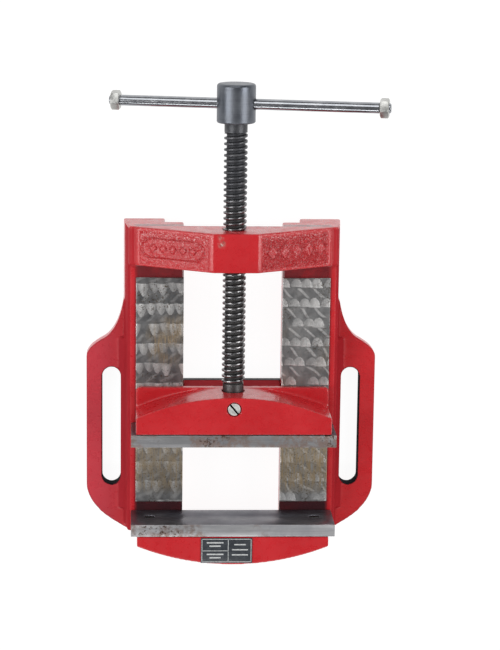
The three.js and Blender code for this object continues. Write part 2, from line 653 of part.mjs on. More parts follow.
function retainingScrew() {
  const top = JAW_CASTING_TOP - RETAINER_BELOW_TOP;
  const radius = RETAINER_DIAMETER / 2;
  const nose = RETAINER_NOSE_DIAMETER / 2;
  const noseEnd = SCREW_Z + GROOVE_RADIUS + FIT;
  const shoulder = SCREW_Z + JOURNAL_DIAMETER / 2 + FIT;
  const stem = [[0, noseEnd], [nose, noseEnd], [nose, shoulder]];
  const profile = [...stem, [radius, shoulder], [radius, top], [0, top]];
  const slot = new THREE.BoxGeometry(2 * RETAINER_DIAMETER, RETAINER_SLOT_WIDTH, 2 * SCREW_SLOT_DEPTH);
  slot.rotateZ(RETAINER_SLOT_ANGLE);
  slot.translate(0, RETAINER_Y, top);
  return cut(turned(profile, 0, RETAINER_Y), [toSolid(slot)]);
}

function keepPlate() {
  const plate = block(
    -KEEP_HALF, KEEP_HALF, MOVING_REAR_Y, MOVING_REAR_Y + KEEP_DEPTH, KEEP_BOTTOM, KEEP_TOP,
  );
  const holes = [-KEEP_BOLT_X, KEEP_BOLT_X].map((x) => rodAlongZ(
    BOLT_DIAMETER + BOLT_HOLE_CLEARANCE, x, KEEP_BOLT_Y, KEEP_BOTTOM - 1, KEEP_TOP + 1,
  ));
  return cut(plate, holes);
}

function keepBolt(x) {
  const headCorners = acrossCorners(BOLT_HEAD_FLATS);
  const headBottom = BOLT_HEAD_TOP - BOLT_HEAD_HEIGHT;
  const head = rodAlongZ(headCorners, x, KEEP_BOLT_Y, headBottom, BOLT_HEAD_TOP, 6);
  const tip = TONGUE_BOTTOM + KEEP_BOLT_REACH;
  const shank = rodAlongZ(BOLT_DIAMETER, x, KEEP_BOLT_Y, BOLT_HEAD_TOP - 1, tip);
  return joined([head, shank]);
}

function keepWasher(x) {
  const zFrom = WASHER_TOP - WASHER_THICKNESS;
  const ring = rodAlongZ(WASHER_DIAMETER, x, KEEP_BOLT_Y, zFrom, WASHER_TOP);
  const bore = rodAlongZ(BOLT_DIAMETER + BOLT_HOLE_CLEARANCE, x, KEEP_BOLT_Y, zFrom - 1, WASHER_TOP + 1);
  const half = WASHER_SPLIT / 2;
  const splitEnd = KEEP_BOLT_Y + WASHER_DIAMETER;
  const split = block(x - half, x + half, KEEP_BOLT_Y, splitEnd, zFrom - 1, WASHER_TOP + 1);
  return cut(ring, [bore, split]);
}

// ---- Lead screw and handle ----------------------------------------------------------------

function leadScrew() {
  const journal = JOURNAL_DIAMETER / 2;
  const tip = journal - JOURNAL_END_CHAMFER;
  const root = THREAD_ROOT_DIAMETER / 2;
  const tenon = TENON_DIAMETER / 2;
  const neck = NECK_DIAMETER / 2;
  const journalProfile = [
    [0, THREAD_START_Y - PITCH / 2],
    [root, THREAD_START_Y - PITCH / 2],
    [root, THREAD_START_Y],
    [journal, THREAD_START_Y],
    [journal, RETAINER_Y - GROOVE_HALF],
    [GROOVE_RADIUS, RETAINER_Y - GROOVE_HALF],
    [GROOVE_RADIUS, RETAINER_Y + GROOVE_HALF],
    [journal, RETAINER_Y + GROOVE_HALF],
    [journal, JOURNAL_END_Y - JOURNAL_END_CHAMFER],
    [tip, JOURNAL_END_Y],
    [0, JOURNAL_END_Y],
  ];
  const neckProfile = [
    [0, HEAD_FACE_Y - TENON_LENGTH],
    [tenon, HEAD_FACE_Y - TENON_LENGTH],
    [tenon, HEAD_FACE_Y + FIT],
    [neck, HEAD_FACE_Y + FIT],
    [neck, THREAD_END_Y],
    [root, THREAD_END_Y],
    [root, THREAD_END_Y + PITCH / 2],
    [0, THREAD_END_Y + PITCH / 2],
  ];
  const thread = threadSolid(SCREW_DIAMETER / 2, root, 0, THREAD_END_Y, THREAD_START_Y);
  return joined([
    turnedAlongY(journalProfile, 0, SCREW_Z, ROUND_SIDES),
    thread,
    turnedAlongY(neckProfile, 0, SCREW_Z, THREAD_SIDES),
  ]);
}

// The head and the bar are made about the bar axis, with X along the bar.
function handleHead() {
  const radius = HEAD_DIAMETER / 2;
  const inner = BAR_FROM_HEAD_FACE;
  const outer = inner - HEAD_LENGTH;
  const edge = HEAD_EDGE;
  const profile = [
    [0, outer],
    [radius - edge, outer],
    [radius - edge * 0.3, outer + edge * 0.3],
    [radius, outer + edge],
    [radius, inner - edge / 2],
    [radius - edge / 2, inner],
    [0, inner],
  ];
  const barHole = rodAlongX(BAR_DIAMETER + BAR_HOLE_CLEARANCE, -radius - 1, radius + 1);
  const socket = rodAlongY(TENON_DIAMETER + 2 * FIT, 0, 0, inner - TENON_LENGTH - FIT, inner + 1);
  return cut(turnedAlongY(profile, 0, 0, ROUND_SIDES), [barHole, socket]);
}

function threadEndDiameter() {
  return BAR_DIAMETER - 2 * FIT;
}

function tommyBar() {
  const half = BAR_LENGTH / 2;
  const seat = half - BAR_STUB - NUT_THICKNESS - FIT;
  const bar = rodAlongX(BAR_DIAMETER, -seat, seat);
  const core = rodAlongX(threadEndDiameter(), -half, half);
  return joined([bar, core]);
}

function barNut(side) {
  const half = BAR_LENGTH / 2;
  const [xFrom, xTo] = [side * (half - BAR_STUB - NUT_THICKNESS), side * (half - BAR_STUB)]
    .sort((a, b) => a - b);
  const hexagon = rodAlongX(acrossCorners(NUT_ACROSS_FLATS), xFrom, xTo, 6);
  const hole = rodAlongX(threadEndDiameter() + 2 * FIT, xFrom - 1, xTo + 1);
  return cut(hexagon, [hole]);
}

// ---- Materials ----------------------------------------------------------------------------

function finish(color, roughness, metalness) {
  return new THREE.MeshStandardMaterial({ color, roughness, metalness, flatShading: true });
}

const RED_PAINT = finish(0xc22e32, 0.4, 0);
const GROUND_STEEL = finish(0x8f9092, 0.35, 1);
const DARK_STEEL = finish(0x2a2a2c, 0.45, 0.9);
const BLUED_STEEL = finish(0x3d4450, 0.4, 0.8);
const ZINC = finish(0xc9cccf, 0.25, 1);
const BLACK_LABEL = finish(0x14161c, 0.5, 0);

// ---- Assembly -----------------------------------------------------------------------------

function addPiece(parent, name, solid, material) {
  const mesh = new THREE.Mesh(toGeometry(solid), material);
  mesh.name = name;
  parent.add(mesh);
}

function baseGroup() {
  const base = new THREE.Group();
  addPiece(base, 'body_casting', bodyCasting(), RED_PAINT);
  addPiece(base, 'fixed_jaw_plate', jawPlate(CLAMP_Y, 1), GROUND_STEEL);
  const [left, right] = plateScrewXs();
  addPiece(base, 'fixed_plate_screw_left', plateScrew(left, CLAMP_Y, 1), DARK_STEEL);
  addPiece(base, 'fixed_plate_screw_right', plateScrew(right, CLAMP_Y, 1), DARK_STEEL);
  addPiece(base, 'label_plate', labelPlate(), BLACK_LABEL);
  return base;
}

function carriageGroup() {
  const carriage = new THREE.Group();
  addPiece(carriage, 'moving_jaw', movingJaw(), RED_PAINT);
  addPiece(carriage, 'moving_jaw_plate', jawPlate(MOVING_FACE_Y, -1), GROUND_STEEL);
  const [left, right] = plateScrewXs();
  addPiece(carriage, 'moving_plate_screw_left', plateScrew(left, MOVING_FACE_Y, -1), DARK_STEEL);
  addPiece(carriage, 'moving_plate_screw_right', plateScrew(right, MOVING_FACE_Y, -1), DARK_STEEL);
  addPiece(carriage, 'retaining_screw', retainingScrew(), ZINC);
  addPiece(carriage, 'keep_plate', keepPlate(), DARK_STEEL);
  for (const [side, x] of [['left', -KEEP_BOLT_X], ['right', KEEP_BOLT_X]]) {
    addPiece(carriage, `keep_bolt_${side}`, keepBolt(x), DARK_STEEL);
    addPiece(carriage, `keep_washer_${side}`, keepWasher(x), ZINC);
  }
  return carriage;
}

function handleGroup() {
  const handle = new THREE.Group();
  handle.position.set(0, BAR_Y, SCREW_Z);
  handle.rotation.y = BAR_ANGLE;
  addPiece(handle, 'handle_head', handleHead(), BLUED_STEEL);
  const bar = new THREE.Group();
  bar.position.x = -BAR_SLID;
  addPiece(bar, 'tommy_bar', tommyBar(), ZINC);
  addPiece(bar, 'bar_nut_left', barNut(-1), ZINC);
  addPiece(bar, 'bar_nut_right', barNut(1), ZINC);
  handle.add(bar);
  return handle;
}

const group = new THREE.Group();
group.add(baseGroup());
group.add(carriageGroup());
addPiece(group, 'lead_screw', leadScrew(), DARK_STEEL);
group.add(handleGroup());

export default group;
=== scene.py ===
import math

import bmesh
import bpy
from mathutils import Matrix, Vector, noise


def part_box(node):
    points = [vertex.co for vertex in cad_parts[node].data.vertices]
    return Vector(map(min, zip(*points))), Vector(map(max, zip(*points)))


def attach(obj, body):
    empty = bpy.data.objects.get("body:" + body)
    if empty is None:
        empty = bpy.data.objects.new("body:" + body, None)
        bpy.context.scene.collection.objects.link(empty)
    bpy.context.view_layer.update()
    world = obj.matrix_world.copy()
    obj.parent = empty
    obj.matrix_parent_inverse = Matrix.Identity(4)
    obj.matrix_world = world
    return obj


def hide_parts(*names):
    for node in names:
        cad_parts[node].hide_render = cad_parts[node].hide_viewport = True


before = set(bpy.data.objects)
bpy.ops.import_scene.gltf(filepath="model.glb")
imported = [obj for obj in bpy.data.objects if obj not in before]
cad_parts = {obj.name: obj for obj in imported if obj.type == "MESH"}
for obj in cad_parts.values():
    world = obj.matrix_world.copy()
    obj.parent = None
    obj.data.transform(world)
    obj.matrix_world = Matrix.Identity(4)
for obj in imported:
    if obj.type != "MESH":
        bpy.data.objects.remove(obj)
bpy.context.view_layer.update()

MM = 0.001

# ---- Sizes that the looks share with the design, in metres --------------------------------

PITCH = 25.4 / 6 * MM
SCREW_RADIUS = 8.7 * MM
ROOT_RADIUS = 6.75 * MM
NECK_RADIUS = 8.5 * MM
NECK_LENGTH = 6.5 * MM
TENON_RADIUS = 6 * MM
JOURNAL_RADIUS = 7.8 * MM
JOURNAL_LENGTH = 25.1 * MM
GROOVE_RADIUS = 5.7 * MM
GROOVE_HALF = 3.4 * MM
RETAINER_BORE_RADIUS = 5.35 * MM
KEEP_HOLE_RADIUS = 4.4 * MM
HEAD_RADIUS = 14.25 * MM
HEAD_HOLE_RADIUS = 4.45 * MM
SOCKET_RADIUS = 6.3 * MM
SOCKET_DEPTH = 6.8 * MM
BAR_RADIUS = 4 * MM
BAR_LENGTH = 207.7 * MM
BAR_TILT = math.radians(12)
BAR_SLID = -9.5 * MM
BAR_STUB = 1.5 * MM
NUT_FLATS = 13 * MM
NUT_LENGTH = 6.5 * MM
NUT_HOLE_RADIUS = 3.75 * MM
FIT = 0.3 * MM
WAY_Z = 36 * MM
WAY_INNER = 37 * MM
WAY_OUTER = 72.5 * MM
WAY_FRONT_Y = -201.5 * MM
WAY_REAR_Y = -28.5 * MM
CAST_TOP = 34.3 * MM
BEAM_HUB_HALF = 16.5 * MM
BEAM_HUB_TOP = 71.3 * MM
WING_END_Z = 40.3 * MM
FLANGE_TOP = 12 * MM
SLOT_X = 91 * MM
SLOT_HALF = 7 * MM
SLOT_FRONT_Y = -127.8 * MM
SLOT_REAR_Y = -35.6 * MM
SLOT_TURN = math.radians(-50)
VOXEL = 0.8 * MM
SMOOTH_ANGLE = math.radians(32)
ROUND = 64


# ---- Mesh helpers --------------------------------------------------------------------------

def centre(node):
    low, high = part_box(node)
    return (Vector(low) + Vector(high)) / 2


def as_object(name, bm):
    bmesh.ops.recalc_face_normals(bm, faces=bm.faces)
    mesh = bpy.data.meshes.new(name)
    bm.to_mesh(mesh)
    bm.free()
    piece = bpy.data.objects.new(name, mesh)
    bpy.context.collection.objects.link(piece)
    return piece


def apply_modifiers(piece):
    graph = bpy.context.evaluated_depsgraph_get()
    mesh = bpy.data.meshes.new_from_object(piece.evaluated_get(graph))
    piece.modifiers.clear()
    piece.data = mesh


def add_bevel(piece, width, segments=2, angle=30):
    bevel = piece.modifiers.new("bevel", "BEVEL")
    bevel.width = width
    bevel.segments = segments
    bevel.limit_method = "ANGLE"
    bevel.angle_limit = math.radians(angle)
    apply_modifiers(piece)


def cut(piece, cutters):
    for cutter in cutters:
        boolean = piece.modifiers.new("cut", "BOOLEAN")
        boolean.object = cutter
        boolean.operation = "DIFFERENCE"
        boolean.solver = "EXACT"
        apply_modifiers(piece)
        bpy.data.objects.remove(cutter)


def shade(piece):
    """Smooth shading with hard edges where faces meet at a clear angle."""
    bm = bmesh.new()
    bm.from_mesh(piece.data)
    for face in bm.faces:
        face.smooth = True
    for edge in bm.edges:
        edge.smooth = len(edge.link_faces) == 2 and edge.calc_face_angle(0) < SMOOTH_ANGLE
    bm.to_mesh(piece.data)
    bm.free()


def finish_piece(piece, material, slot, body, *nodes):
    shade(piece)
    piece.data.materials.clear()
    piece.data.materials.append(material)
    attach(piece, body)
    if nodes:
        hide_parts(*nodes)
    return piece


def block(name, low, high):
    bm = bmesh.new()
    bmesh.ops.create_cube(bm, size=1)
    low, high = Vector(low), Vector(high)
    size = high - low
    bmesh.ops.scale(bm, vec=size, verts=bm.verts)
    bmesh.ops.translate(bm, vec=(low + high) / 2, verts=bm.verts)
    return as_object(name, bm)


def rounded(profile, radius, steps=4):
    """The profile with each inner corner replaced by a small arc."""
    out = [profile[0]]
    for before, corner, after in zip(profile, profile[1:], profile[2:]):
        corner = Vector(corner)
        start = Vector(before) - corner
        end = Vector(after) - corner
        reach = min(radius, start.length * 0.45, end.length * 0.45)
        first = corner + start.normalized() * reach
        last = corner + end.normalized() * reach
        for step in range(steps + 1):
            t = step / steps
            point = first * (1 - t) ** 2 + corner * (2 * t * (1 - t)) + last * t ** 2
            out.append(tuple(point))
    out.append(profile[-1])
    return out


def turned_mesh(profile, segments=ROUND, axis="Y"):
    """A solid turned about an axis through the origin. Pairs are (radius, height)."""
    bm = bmesh.new()
    rings = []
    for radius, height in profile:
        if radius < 1e-7:
            rings.append([bm.verts.new((0, height, 0))])
            continue
        ring = []
        for i in range(segments):
            angle = 2 * math.pi * i / segments
            ring.append(bm.verts.new((radius * math.sin(angle), height, radius * math.cos(angle))))
        rings.append(ring)
    for low, high in zip(rings, rings[1:]):
        for i in range(segments):
            j = (i + 1) % segments
            corners = [low[i % len(low)], low[j % len(low)], high[j % len(high)], high[i % len(high)]]
            unique = list(dict.fromkeys(corners))
            if len(unique) > 2:
                bm.faces.new(unique)
    if axis == "Z":
        bmesh.ops.rotate(bm, matrix=Matrix.Rotation(math.pi / 2, 3, "X"), verts=bm.verts)
    if axis == "X":
        bmesh.ops.rotate(bm, matrix=Matrix.Rotation(-math.pi / 2, 3, "Z"), verts=bm.verts)
    return bm


def turned(name, profile, place, segments=ROUND, axis="Y"):
    bm = turned_mesh(profile, segments, axis)
    bmesh.ops.translate(bm, vec=place, verts=bm.verts)
    return as_object(name, bm)


def drill(name, radius, low, high, place, segments=ROUND, axis="Y"):
    """A plain cylinder between two heights on its axis, used as a cutter."""
    return turned(name, [(0, low), (radius, low), (radius, high), (0, high)], place, segments, axis)


def hexagon_prism(name, across_flats, length, place, turn=0.0):
    """A hexagon nut blank along Y, with its corners turned off at both ends."""
    corner = across_flats / 2 / math.cos(math.pi / 6)
    half = length / 2
    bm = turned_mesh([(0, -half), (corner, -half), (corner, half), (0, half)], 6)
    prism = as_object(name, bm)
    chamfer = (corner - across_flats / 2) * 0.9
    barrel_profile = [
        (0, -half - MM),
        (across_flats / 2 * 0.94, -half - MM / 100),
        (corner + 0.2 * MM, -half + chamfer),
        (corner + 0.2 * MM, half - chamfer),
        (across_flats / 2 * 0.94, half + MM / 100),
        (0, half + MM),
    ]
    barrel = turned(name + "_barrel", barrel_profile, (0, 0, 0))
    boolean = prism.modifiers.new("corners", "BOOLEAN")
    boolean.object = barrel
    boolean.operation = "INTERSECT"
    apply_modifiers(prism)
    bpy.data.objects.remove(barrel)
    move = Matrix.Translation(place) @ Matrix.Rotation(turn, 4, "Y")
    prism.data.transform(move)
    return prism


def thread_object(name, crest, root, pitch, y_from, y_to, per_turn=40, crest_share=0.46):
    """A right-hand thread about the Y axis through the origin, cut to length with a chamfer."""
    flat = pitch * crest_share / 2
    flank = pitch * 0.035
    soft = (crest - root) * 0.28
    section = [
        (root, -pitch / 2),
        (root, -flat - flank - soft * 0.6),
        (root + soft * 0.5, -flat - flank),
        (crest - soft, -flat),
        (crest - soft * 0.25, -flat + soft * 0.4),
        (crest, -flat + soft * 1.2),
        (crest, flat - soft * 1.2),
        (crest - soft * 0.25, flat - soft * 0.4),
        (crest - soft, flat),
        (root + soft * 0.5, flat + flank),
        (root, flat + flank + soft * 0.6),
    ]
    first = math.floor(y_from / pitch) - 2
    turns = math.ceil(y_to / pitch) + 2 - first
    rows = turns * len(section)
    bm = bmesh.new()
    grid = []
    for step in range(per_turn + 1):
        angle = 2 * math.pi * step / per_turn
        column = []
        for row in range(rows + 1):
            radius, offset = section[row % len(section)]
            turn = first + row // len(section) + step / per_turn
            y = turn * pitch + offset
            column.append(bm.verts.new((radius * math.sin(angle), y, radius * math.cos(angle))))
        grid.append(column)
    for near, far in zip(grid, grid[1:]):
        for row in range(rows):
            bm.faces.new((near[row], far[row], far[row + 1], near[row + 1]))
    bmesh.ops.remove_doubles(bm, verts=bm.verts, dist=1e-6)
    bmesh.ops.holes_fill(bm, edges=[e for e in bm.edges if e.is_boundary], sides=0)
    bmesh.ops.triangulate(bm, faces=[f for f in bm.faces if len(f.verts) > 4])
    thread = as_object(name, bm)
    chamfer = (crest - root) * 0.8
    wide = crest + 0.1 * MM
    limit = [
        (0, y_from), (wide - chamfer, y_from), (wide, y_from + chamfer),
        (wide, y_to - chamfer), (wide - chamfer, y_to), (0, y_to),
    ]
    sleeve = turned("sleeve", limit, (0, 0, 0), 48)
    boolean = thread.modifiers.new("length", "BOOLEAN")
    boolean.object = sleeve
    boolean.operation = "INTERSECT"
    boolean.solver = "EXACT"
    apply_modifiers(thread)
    bpy.data.objects.remove(sleeve)
    return thread


def join(pieces):
    """Several meshes as one object, the first."""
    first = pieces[0]
    bm = bmesh.new()
    for piece in pieces:
        bm.from_mesh(piece.data)
    bm.to_mesh(first.data)
    bm.free()
    for piece in pieces[1:]:
        bpy.data.objects.remove(piece)
    return first


# ---- Material helpers ----------------------------------------------------------------------

class Shader:
    """A short way to write a Principled material's nodes."""

    def __init__(self, name, metallic, coat=0.0, coat_roughness=0.1):
        self.material = bpy.data.materials.new(name)
        self.material.use_nodes = True
        self.nodes = self.material.node_tree.nodes
        self.links = self.material.node_tree.links
        self.surface = self.nodes["Principled BSDF"]
        self.surface.inputs["Metallic"].default_value = metallic
        self.surface.inputs["Coat Weight"].default_value = coat
        self.surface.inputs["Coat Roughness"].default_value = coat_roughness
        self.position = self.nodes.new("ShaderNodeTexCoord").outputs["Object"]

    def put(self, value, socket):
        if isinstance(value, bpy.types.NodeSocket):
            self.links.new(value, socket)
        elif isinstance(value, tuple):
            socket.default_value = (*value, 1) if len(value) == 3 else value
        else:
            socket.default_value = value

    def stretched(self, x, y, z):
        node = self.nodes.new("ShaderNodeMapping")
        node.inputs["Scale"].default_value = (x, y, z)
        self.links.new(self.position, node.inputs["Vector"])
        return node.outputs["Vector"]

    def noise(self, scale, detail=4.0, roughness=0.55, vector=None):
        node = self.nodes.new("ShaderNodeTexNoise")
        node.inputs["Scale"].default_value = scale
        node.inputs["Detail"].default_value = detail
        node.inputs["Roughness"].default_value = roughness
        self.links.new(vector or self.position, node.inputs["Vector"])
        return node.outputs["Fac"]

    def attribute(self, name):
        node = self.nodes.new("ShaderNodeAttribute")
        node.attribute_name = name
        return node.outputs["Fac"]

    def between(self, value, low, high, to_low=0.0, to_high=1.0):
        node = self.nodes.new("ShaderNodeMapRange")
        node.interpolation_type = "SMOOTHSTEP"
        self.put(value, node.inputs["Value"])
        node.inputs["From Min"].default_value = low
        node.inputs["From Max"].default_value = high
        node.inputs["To Min"].default_value = to_low
        node.inputs["To Max"].default_value = to_high
        return node.outputs["Result"]

    def maths(self, operation, a, b=0.0):
        node = self.nodes.new("ShaderNodeMath")
        node.operation = operation
        self.put(a, node.inputs[0])
        self.put(b, node.inputs[1])
        return node.outputs[0]

    def mix(self, share, low, high):
        node = self.nodes.new("ShaderNodeMix")
        node.data_type = "RGBA"
        self.put(share, node.inputs[0])
        self.put(low, node.inputs[6])
        self.put(high, node.inputs[7])
        return node.outputs[2]

    def bump(self, height, strength, distance):
        node = self.nodes.new("ShaderNodeBump")
        node.inputs["Strength"].default_value = strength
        node.inputs["Distance"].default_value = distance
        self.put(height, node.inputs["Height"])
        previous = self.surface.inputs["Normal"].links
        if previous:
            self.links.new(previous[0].from_socket, node.inputs["Normal"])
        self.links.new(node.outputs["Normal"], self.surface.inputs["Normal"])

    def axis(self, letter):
        node = self.nodes.new("ShaderNodeSeparateXYZ")
        self.links.new(self.position, node.inputs["Vector"])
        return node.outputs[letter]

    def colour(self, value):
        self.put(value, self.surface.inputs["Base Color"])

    def roughness(self, value):
        self.put(value, self.surface.inputs["Roughness"])


def red_paint():
    """Glossy red enamel over cast iron. The mesh says where it is rough, chipped or matt, and where
    painted shade, painted shadow and painted glints go.
    """
    s = Shader("red_paint", 0.0, coat_roughness=0.12)
    broad = s.noise(26, 3)
    base = s.mix(s.between(broad, 0.3, 0.75), (0.50, 0.011, 0.016), (0.57, 0.018, 0.024))
    faded = s.between(s.axis("X"), 0.070, 0.098, 0, 0.5)
    base = s.mix(faded, base, (0.52, 0.062, 0.09))
    # painted shade: near-black red, mottled by noise, in the strips beside the beam and the fixed jaw
    # and on the jaw's tongue
    painted_shade = s.attribute("painted_shade")
    shade_mottle = s.between(s.noise(70, 5, 0.65), 0.2, 0.6, 0.55, 1.0)
    base = s.mix(s.maths("MULTIPLY", painted_shade, shade_mottle), base, (0.10, 0.008, 0.012))
    # painted shade: a darker red on the walls, fillets, shoulders and the jaw's tongue, which are
    # also matt
    base = s.mix(s.maths("MULTIPLY", s.attribute("dull_shaded"), 0.5), base, (0.27, 0.024, 0.032))
    glint = s.maths("MULTIPLY", s.between(s.noise(900, 4, 0.75), 0.53, 0.62), s.attribute("glint"))
    base = s.mix(glint, base, (0.90, 0.55, 0.55))
    chipped = s.between(s.noise(620, 4, 0.7), 0.36, 0.46)
    chipped = s.maths("MULTIPLY", s.attribute("chip"), chipped)
    metal_tone = s.mix(s.between(s.noise(500, 3), 0.4, 0.6), (0.16, 0.12, 0.09), (0.62, 0.58, 0.52))
    base = s.mix(chipped, base, metal_tone)
    # painted shadow: near-black on the bolt slot walls and beside the fixed jaw
    s.colour(s.mix(s.attribute("painted_shadow"), base, (0.012, 0.013, 0.016)))
    dull_shaded = s.maths("MAXIMUM", s.attribute("dull_shaded"), s.attribute("painted_shadow"))
    s.put(s.between(dull_shaded, 0, 1, 0.42, 0.04), s.surface.inputs["Specular IOR Level"])
    s.put(s.between(dull_shaded, 0, 1, 0.25, 0.0), s.surface.inputs["Coat Weight"])
    gloss = s.between(s.noise(160, 4), 0.3, 0.75, 0.24, 0.40)
    s.roughness(s.maths("MAXIMUM", gloss, s.maths("MULTIPLY", dull_shaded, 0.9)))
    s.bump(s.noise(380, 4), 0.10, 0.2 * MM)
    coarse = s.maths("ADD", s.attribute("rough_cast"), 0.02)
    s.bump(s.maths("MULTIPLY", s.noise(800, 6, 0.75), coarse), 0.9, 0.9 * MM)
    return s.material


def scraped_steel():
    """Machined ways with hand-scraped fans. The fans are in the mesh's own attributes."""
    s = Shader("scraped_steel", 0.85)
    fan = s.attribute("fan")
    stain = s.attribute("stain")
    streaks = s.noise(70, 5, 0.65, s.stretched(9, 0.8, 1))
    metal = s.mix(fan, (0.12, 0.122, 0.125), (0.86, 0.85, 0.83))
    metal = s.mix(s.between(streaks, 0.45, 0.75, 0, 0.35), metal, (0.20, 0.195, 0.19))
    mottle = s.between(s.noise(240, 5, 0.7), 0.5, 0.72, 0, 0.45)
    metal = s.mix(mottle, metal, (0.15, 0.14, 0.135))
    speck_place = s.maths("MAXIMUM", s.between(s.noise(30, 3), 0.5, 0.62), stain)
    pit = s.maths("MULTIPLY", s.between(s.noise(700, 4, 0.7), 0.54, 0.62), speck_place)
    metal = s.mix(pit, metal, (0.09, 0.07, 0.045))
    drag = s.noise(110, 5, 0.65, s.stretched(6, 0.7, 1))
    brown = s.maths("MULTIPLY", stain, s.between(drag, 0.30, 0.66))
    s.colour(s.mix(brown, metal, (0.44, 0.33, 0.20)))
    s.roughness(s.between(s.noise(500, 3), 0.3, 0.7, 0.36, 0.5))
    s.bump(fan, 0.4, 0.2 * MM)
    s.bump(s.noise(900, 3, 0.6, s.stretched(3, 1, 1)), 0.12, 0.1 * MM)
    return s.material


def jaw_steel(name, tone, top, flip):
    """Ground plate: fine lines along the jaw, rust patches, and painted dark reflection on the
    clamping face and every side below the top edge.

    top is the height of the plate's upper edge. flip is -1 to mirror the rust end for end.
    """
    s = Shader(name, 0.85)
    place = s.stretched(flip, 1, 1)
    lines = s.noise(260, 4, 0.6, s.stretched(0.10, 3, 3))
    blotch = s.noise(38, 5, 0.6)
    light = tuple(tone * c for c in (0.60, 0.595, 0.60))
    middle = tuple(tone * c for c in (0.44, 0.44, 0.455))
    dark = tuple(tone * c for c in (0.30, 0.30, 0.32))
    steel = s.mix(s.between(lines, 0.3, 0.7), middle, light)
    steel = s.mix(s.between(blotch, 0.42, 0.72, 0, 0.7), steel, dark)
    rust_place = s.between(s.noise(21, 4, 0.55, place), 0.49, 0.56)
    rust_grain = s.between(s.noise(240, 5, 0.7), 0.36, 0.58)
    rust = s.maths("MULTIPLY", rust_place, rust_grain)
    steel = s.mix(s.maths("MULTIPLY", rust, 0.8), steel, (0.27, 0.19, 0.16))
    scattered = s.between(s.noise(17, 3, 0.55, place), 0.54, 0.62)
    pit = s.maths("MULTIPLY", s.between(s.noise(520, 4, 0.7), 0.54, 0.60), scattered)
    steel = s.mix(pit, steel, (0.09, 0.05, 0.035))
    # painted reflection: every side below the top edge, the clamping face included, takes a dark grey
    cloud = s.between(s.noise(30, 3), 0.35, 0.7)
    dark_reflection_tone = s.mix(cloud, (0.085, 0.085, 0.105), (0.17, 0.165, 0.185))
    face = s.between(s.axis("Z"), top - 1.0 * MM, top - 0.5 * MM)
    s.colour(s.mix(face, dark_reflection_tone, steel))
    s.roughness(s.between(blotch, 0.3, 0.7, 0.34, 0.5))
    s.bump(lines, 0.12, 0.08 * MM)
    s.bump(rust, 0.3, 0.08 * MM)
    return s.material


def dark_steel(name, low, high, gloss=(0.16, 0.34)):
    """Dark steel with paler rubbed spots. The mesh marks its oily thread roots and its dry end."""
    s = Shader(name, 0.92, coat=0.2, coat_roughness=0.15)
    wear = s.noise(140, 5, 0.65)
    root = s.attribute("root")
    steel = s.mix(s.between(wear, 0.35, 0.75), low, high)
    steel = s.mix(root, steel, (0.065, 0.063, 0.062))
    dry = s.attribute("dry")
    s.colour(s.mix(s.maths("MULTIPLY", dry, 0.75), steel, (0.062, 0.065, 0.073)))
    shine = s.between(s.noise(300, 4), 0.3, 0.7, *gloss)
    matt = s.maths("MAXIMUM", s.maths("MULTIPLY", root, 0.6), s.maths("MULTIPLY", dry, 0.5))
    s.roughness(s.maths("MAXIMUM", shine, matt))
    s.put(s.between(root, 0, 1, 0.2, 0.0), s.surface.inputs["Coat Weight"])
    s.bump(s.noise(600, 4, 0.6), 0.15, 0.12 * MM)
    return s.material


def blued_steel():
    """Blue-grey turned head, with faint lathe rings around the screw axis."""
    s = Shader("blued_steel", 0.9)
    rings = s.noise(900, 3, 0.6, s.stretched(0.04, 1, 0.04))
    patch = s.noise(70, 4, 0.6)
    base = s.mix(s.between(patch, 0.35, 0.7), (0.115, 0.125, 0.145), (0.165, 0.175, 0.195))
    s.colour(s.mix(s.between(rings, 0.5, 0.75, 0, 0.4), base, (0.075, 0.08, 0.095)))
    s.roughness(s.between(patch, 0.3, 0.7, 0.32, 0.46))
    s.bump(rings, 0.15, 0.08 * MM)
    return s.material


def zinc(name, low, high, rough_low, rough_high):
    """Zinc plate with a cloudy bloom and fine handling scratches."""
    s = Shader(name, 1.0)
    bloom = s.noise(120, 4, 0.6)
    scratch = s.noise(1400, 2, 0.5, s.stretched(0.3, 1, 1))
    s.colour(s.mix(s.between(bloom, 0.35, 0.7), low, high))
    s.roughness(s.between(bloom, 0.3, 0.7, rough_low, rough_high))
    s.bump(scratch, 0.08, 0.05 * MM)
    return s.material


def slotted_zinc(top):
    """Zinc screw head whose slot is painted near-black as painted shade. top is the height of the
    head's face.
    """
    s = Shader("slotted_zinc", 0.9)
    bloom = s.noise(160, 4, 0.6)
    zinc_tone = s.mix(s.between(bloom, 0.35, 0.7), (0.60, 0.61, 0.58), (0.86, 0.87, 0.84))
    height = s.axis("Z")
    # painted shade: the slot, below the head's face, is near-black
    face = s.between(height, top - 0.45 * MM, top - 0.2 * MM)
    s.colour(s.mix(face, (0.012, 0.012, 0.011), zinc_tone))
    s.roughness(s.between(bloom, 0.3, 0.7, 0.42, 0.55))
    s.bump(s.noise(700, 3), 0.15, 0.08 * MM)
    return s.material


def label_black():
    s = Shader("label_black", 0.0, coat=0.4, coat_roughness=0.15)
    cloud = s.between(s.noise(350, 3), 0.4, 0.7)
    s.colour(s.mix(cloud, (0.022, 0.027, 0.034), (0.04, 0.046, 0.055)))
    s.roughness(s.between(s.noise(500, 3), 0.3, 0.7, 0.3, 0.45))
    s.bump(s.noise(900, 3), 0.1, 0.05 * MM)
    return s.material


def label_white():
    s = Shader("label_white", 0.0)
    s.colour(s.mix(s.between(s.noise(900, 3), 0.45, 0.75), (0.54, 0.55, 0.55), (0.34, 0.35, 0.35)))
    s.roughness(s.between(s.noise(500, 3), 0.3, 0.7, 0.35, 0.5))
    return s.material


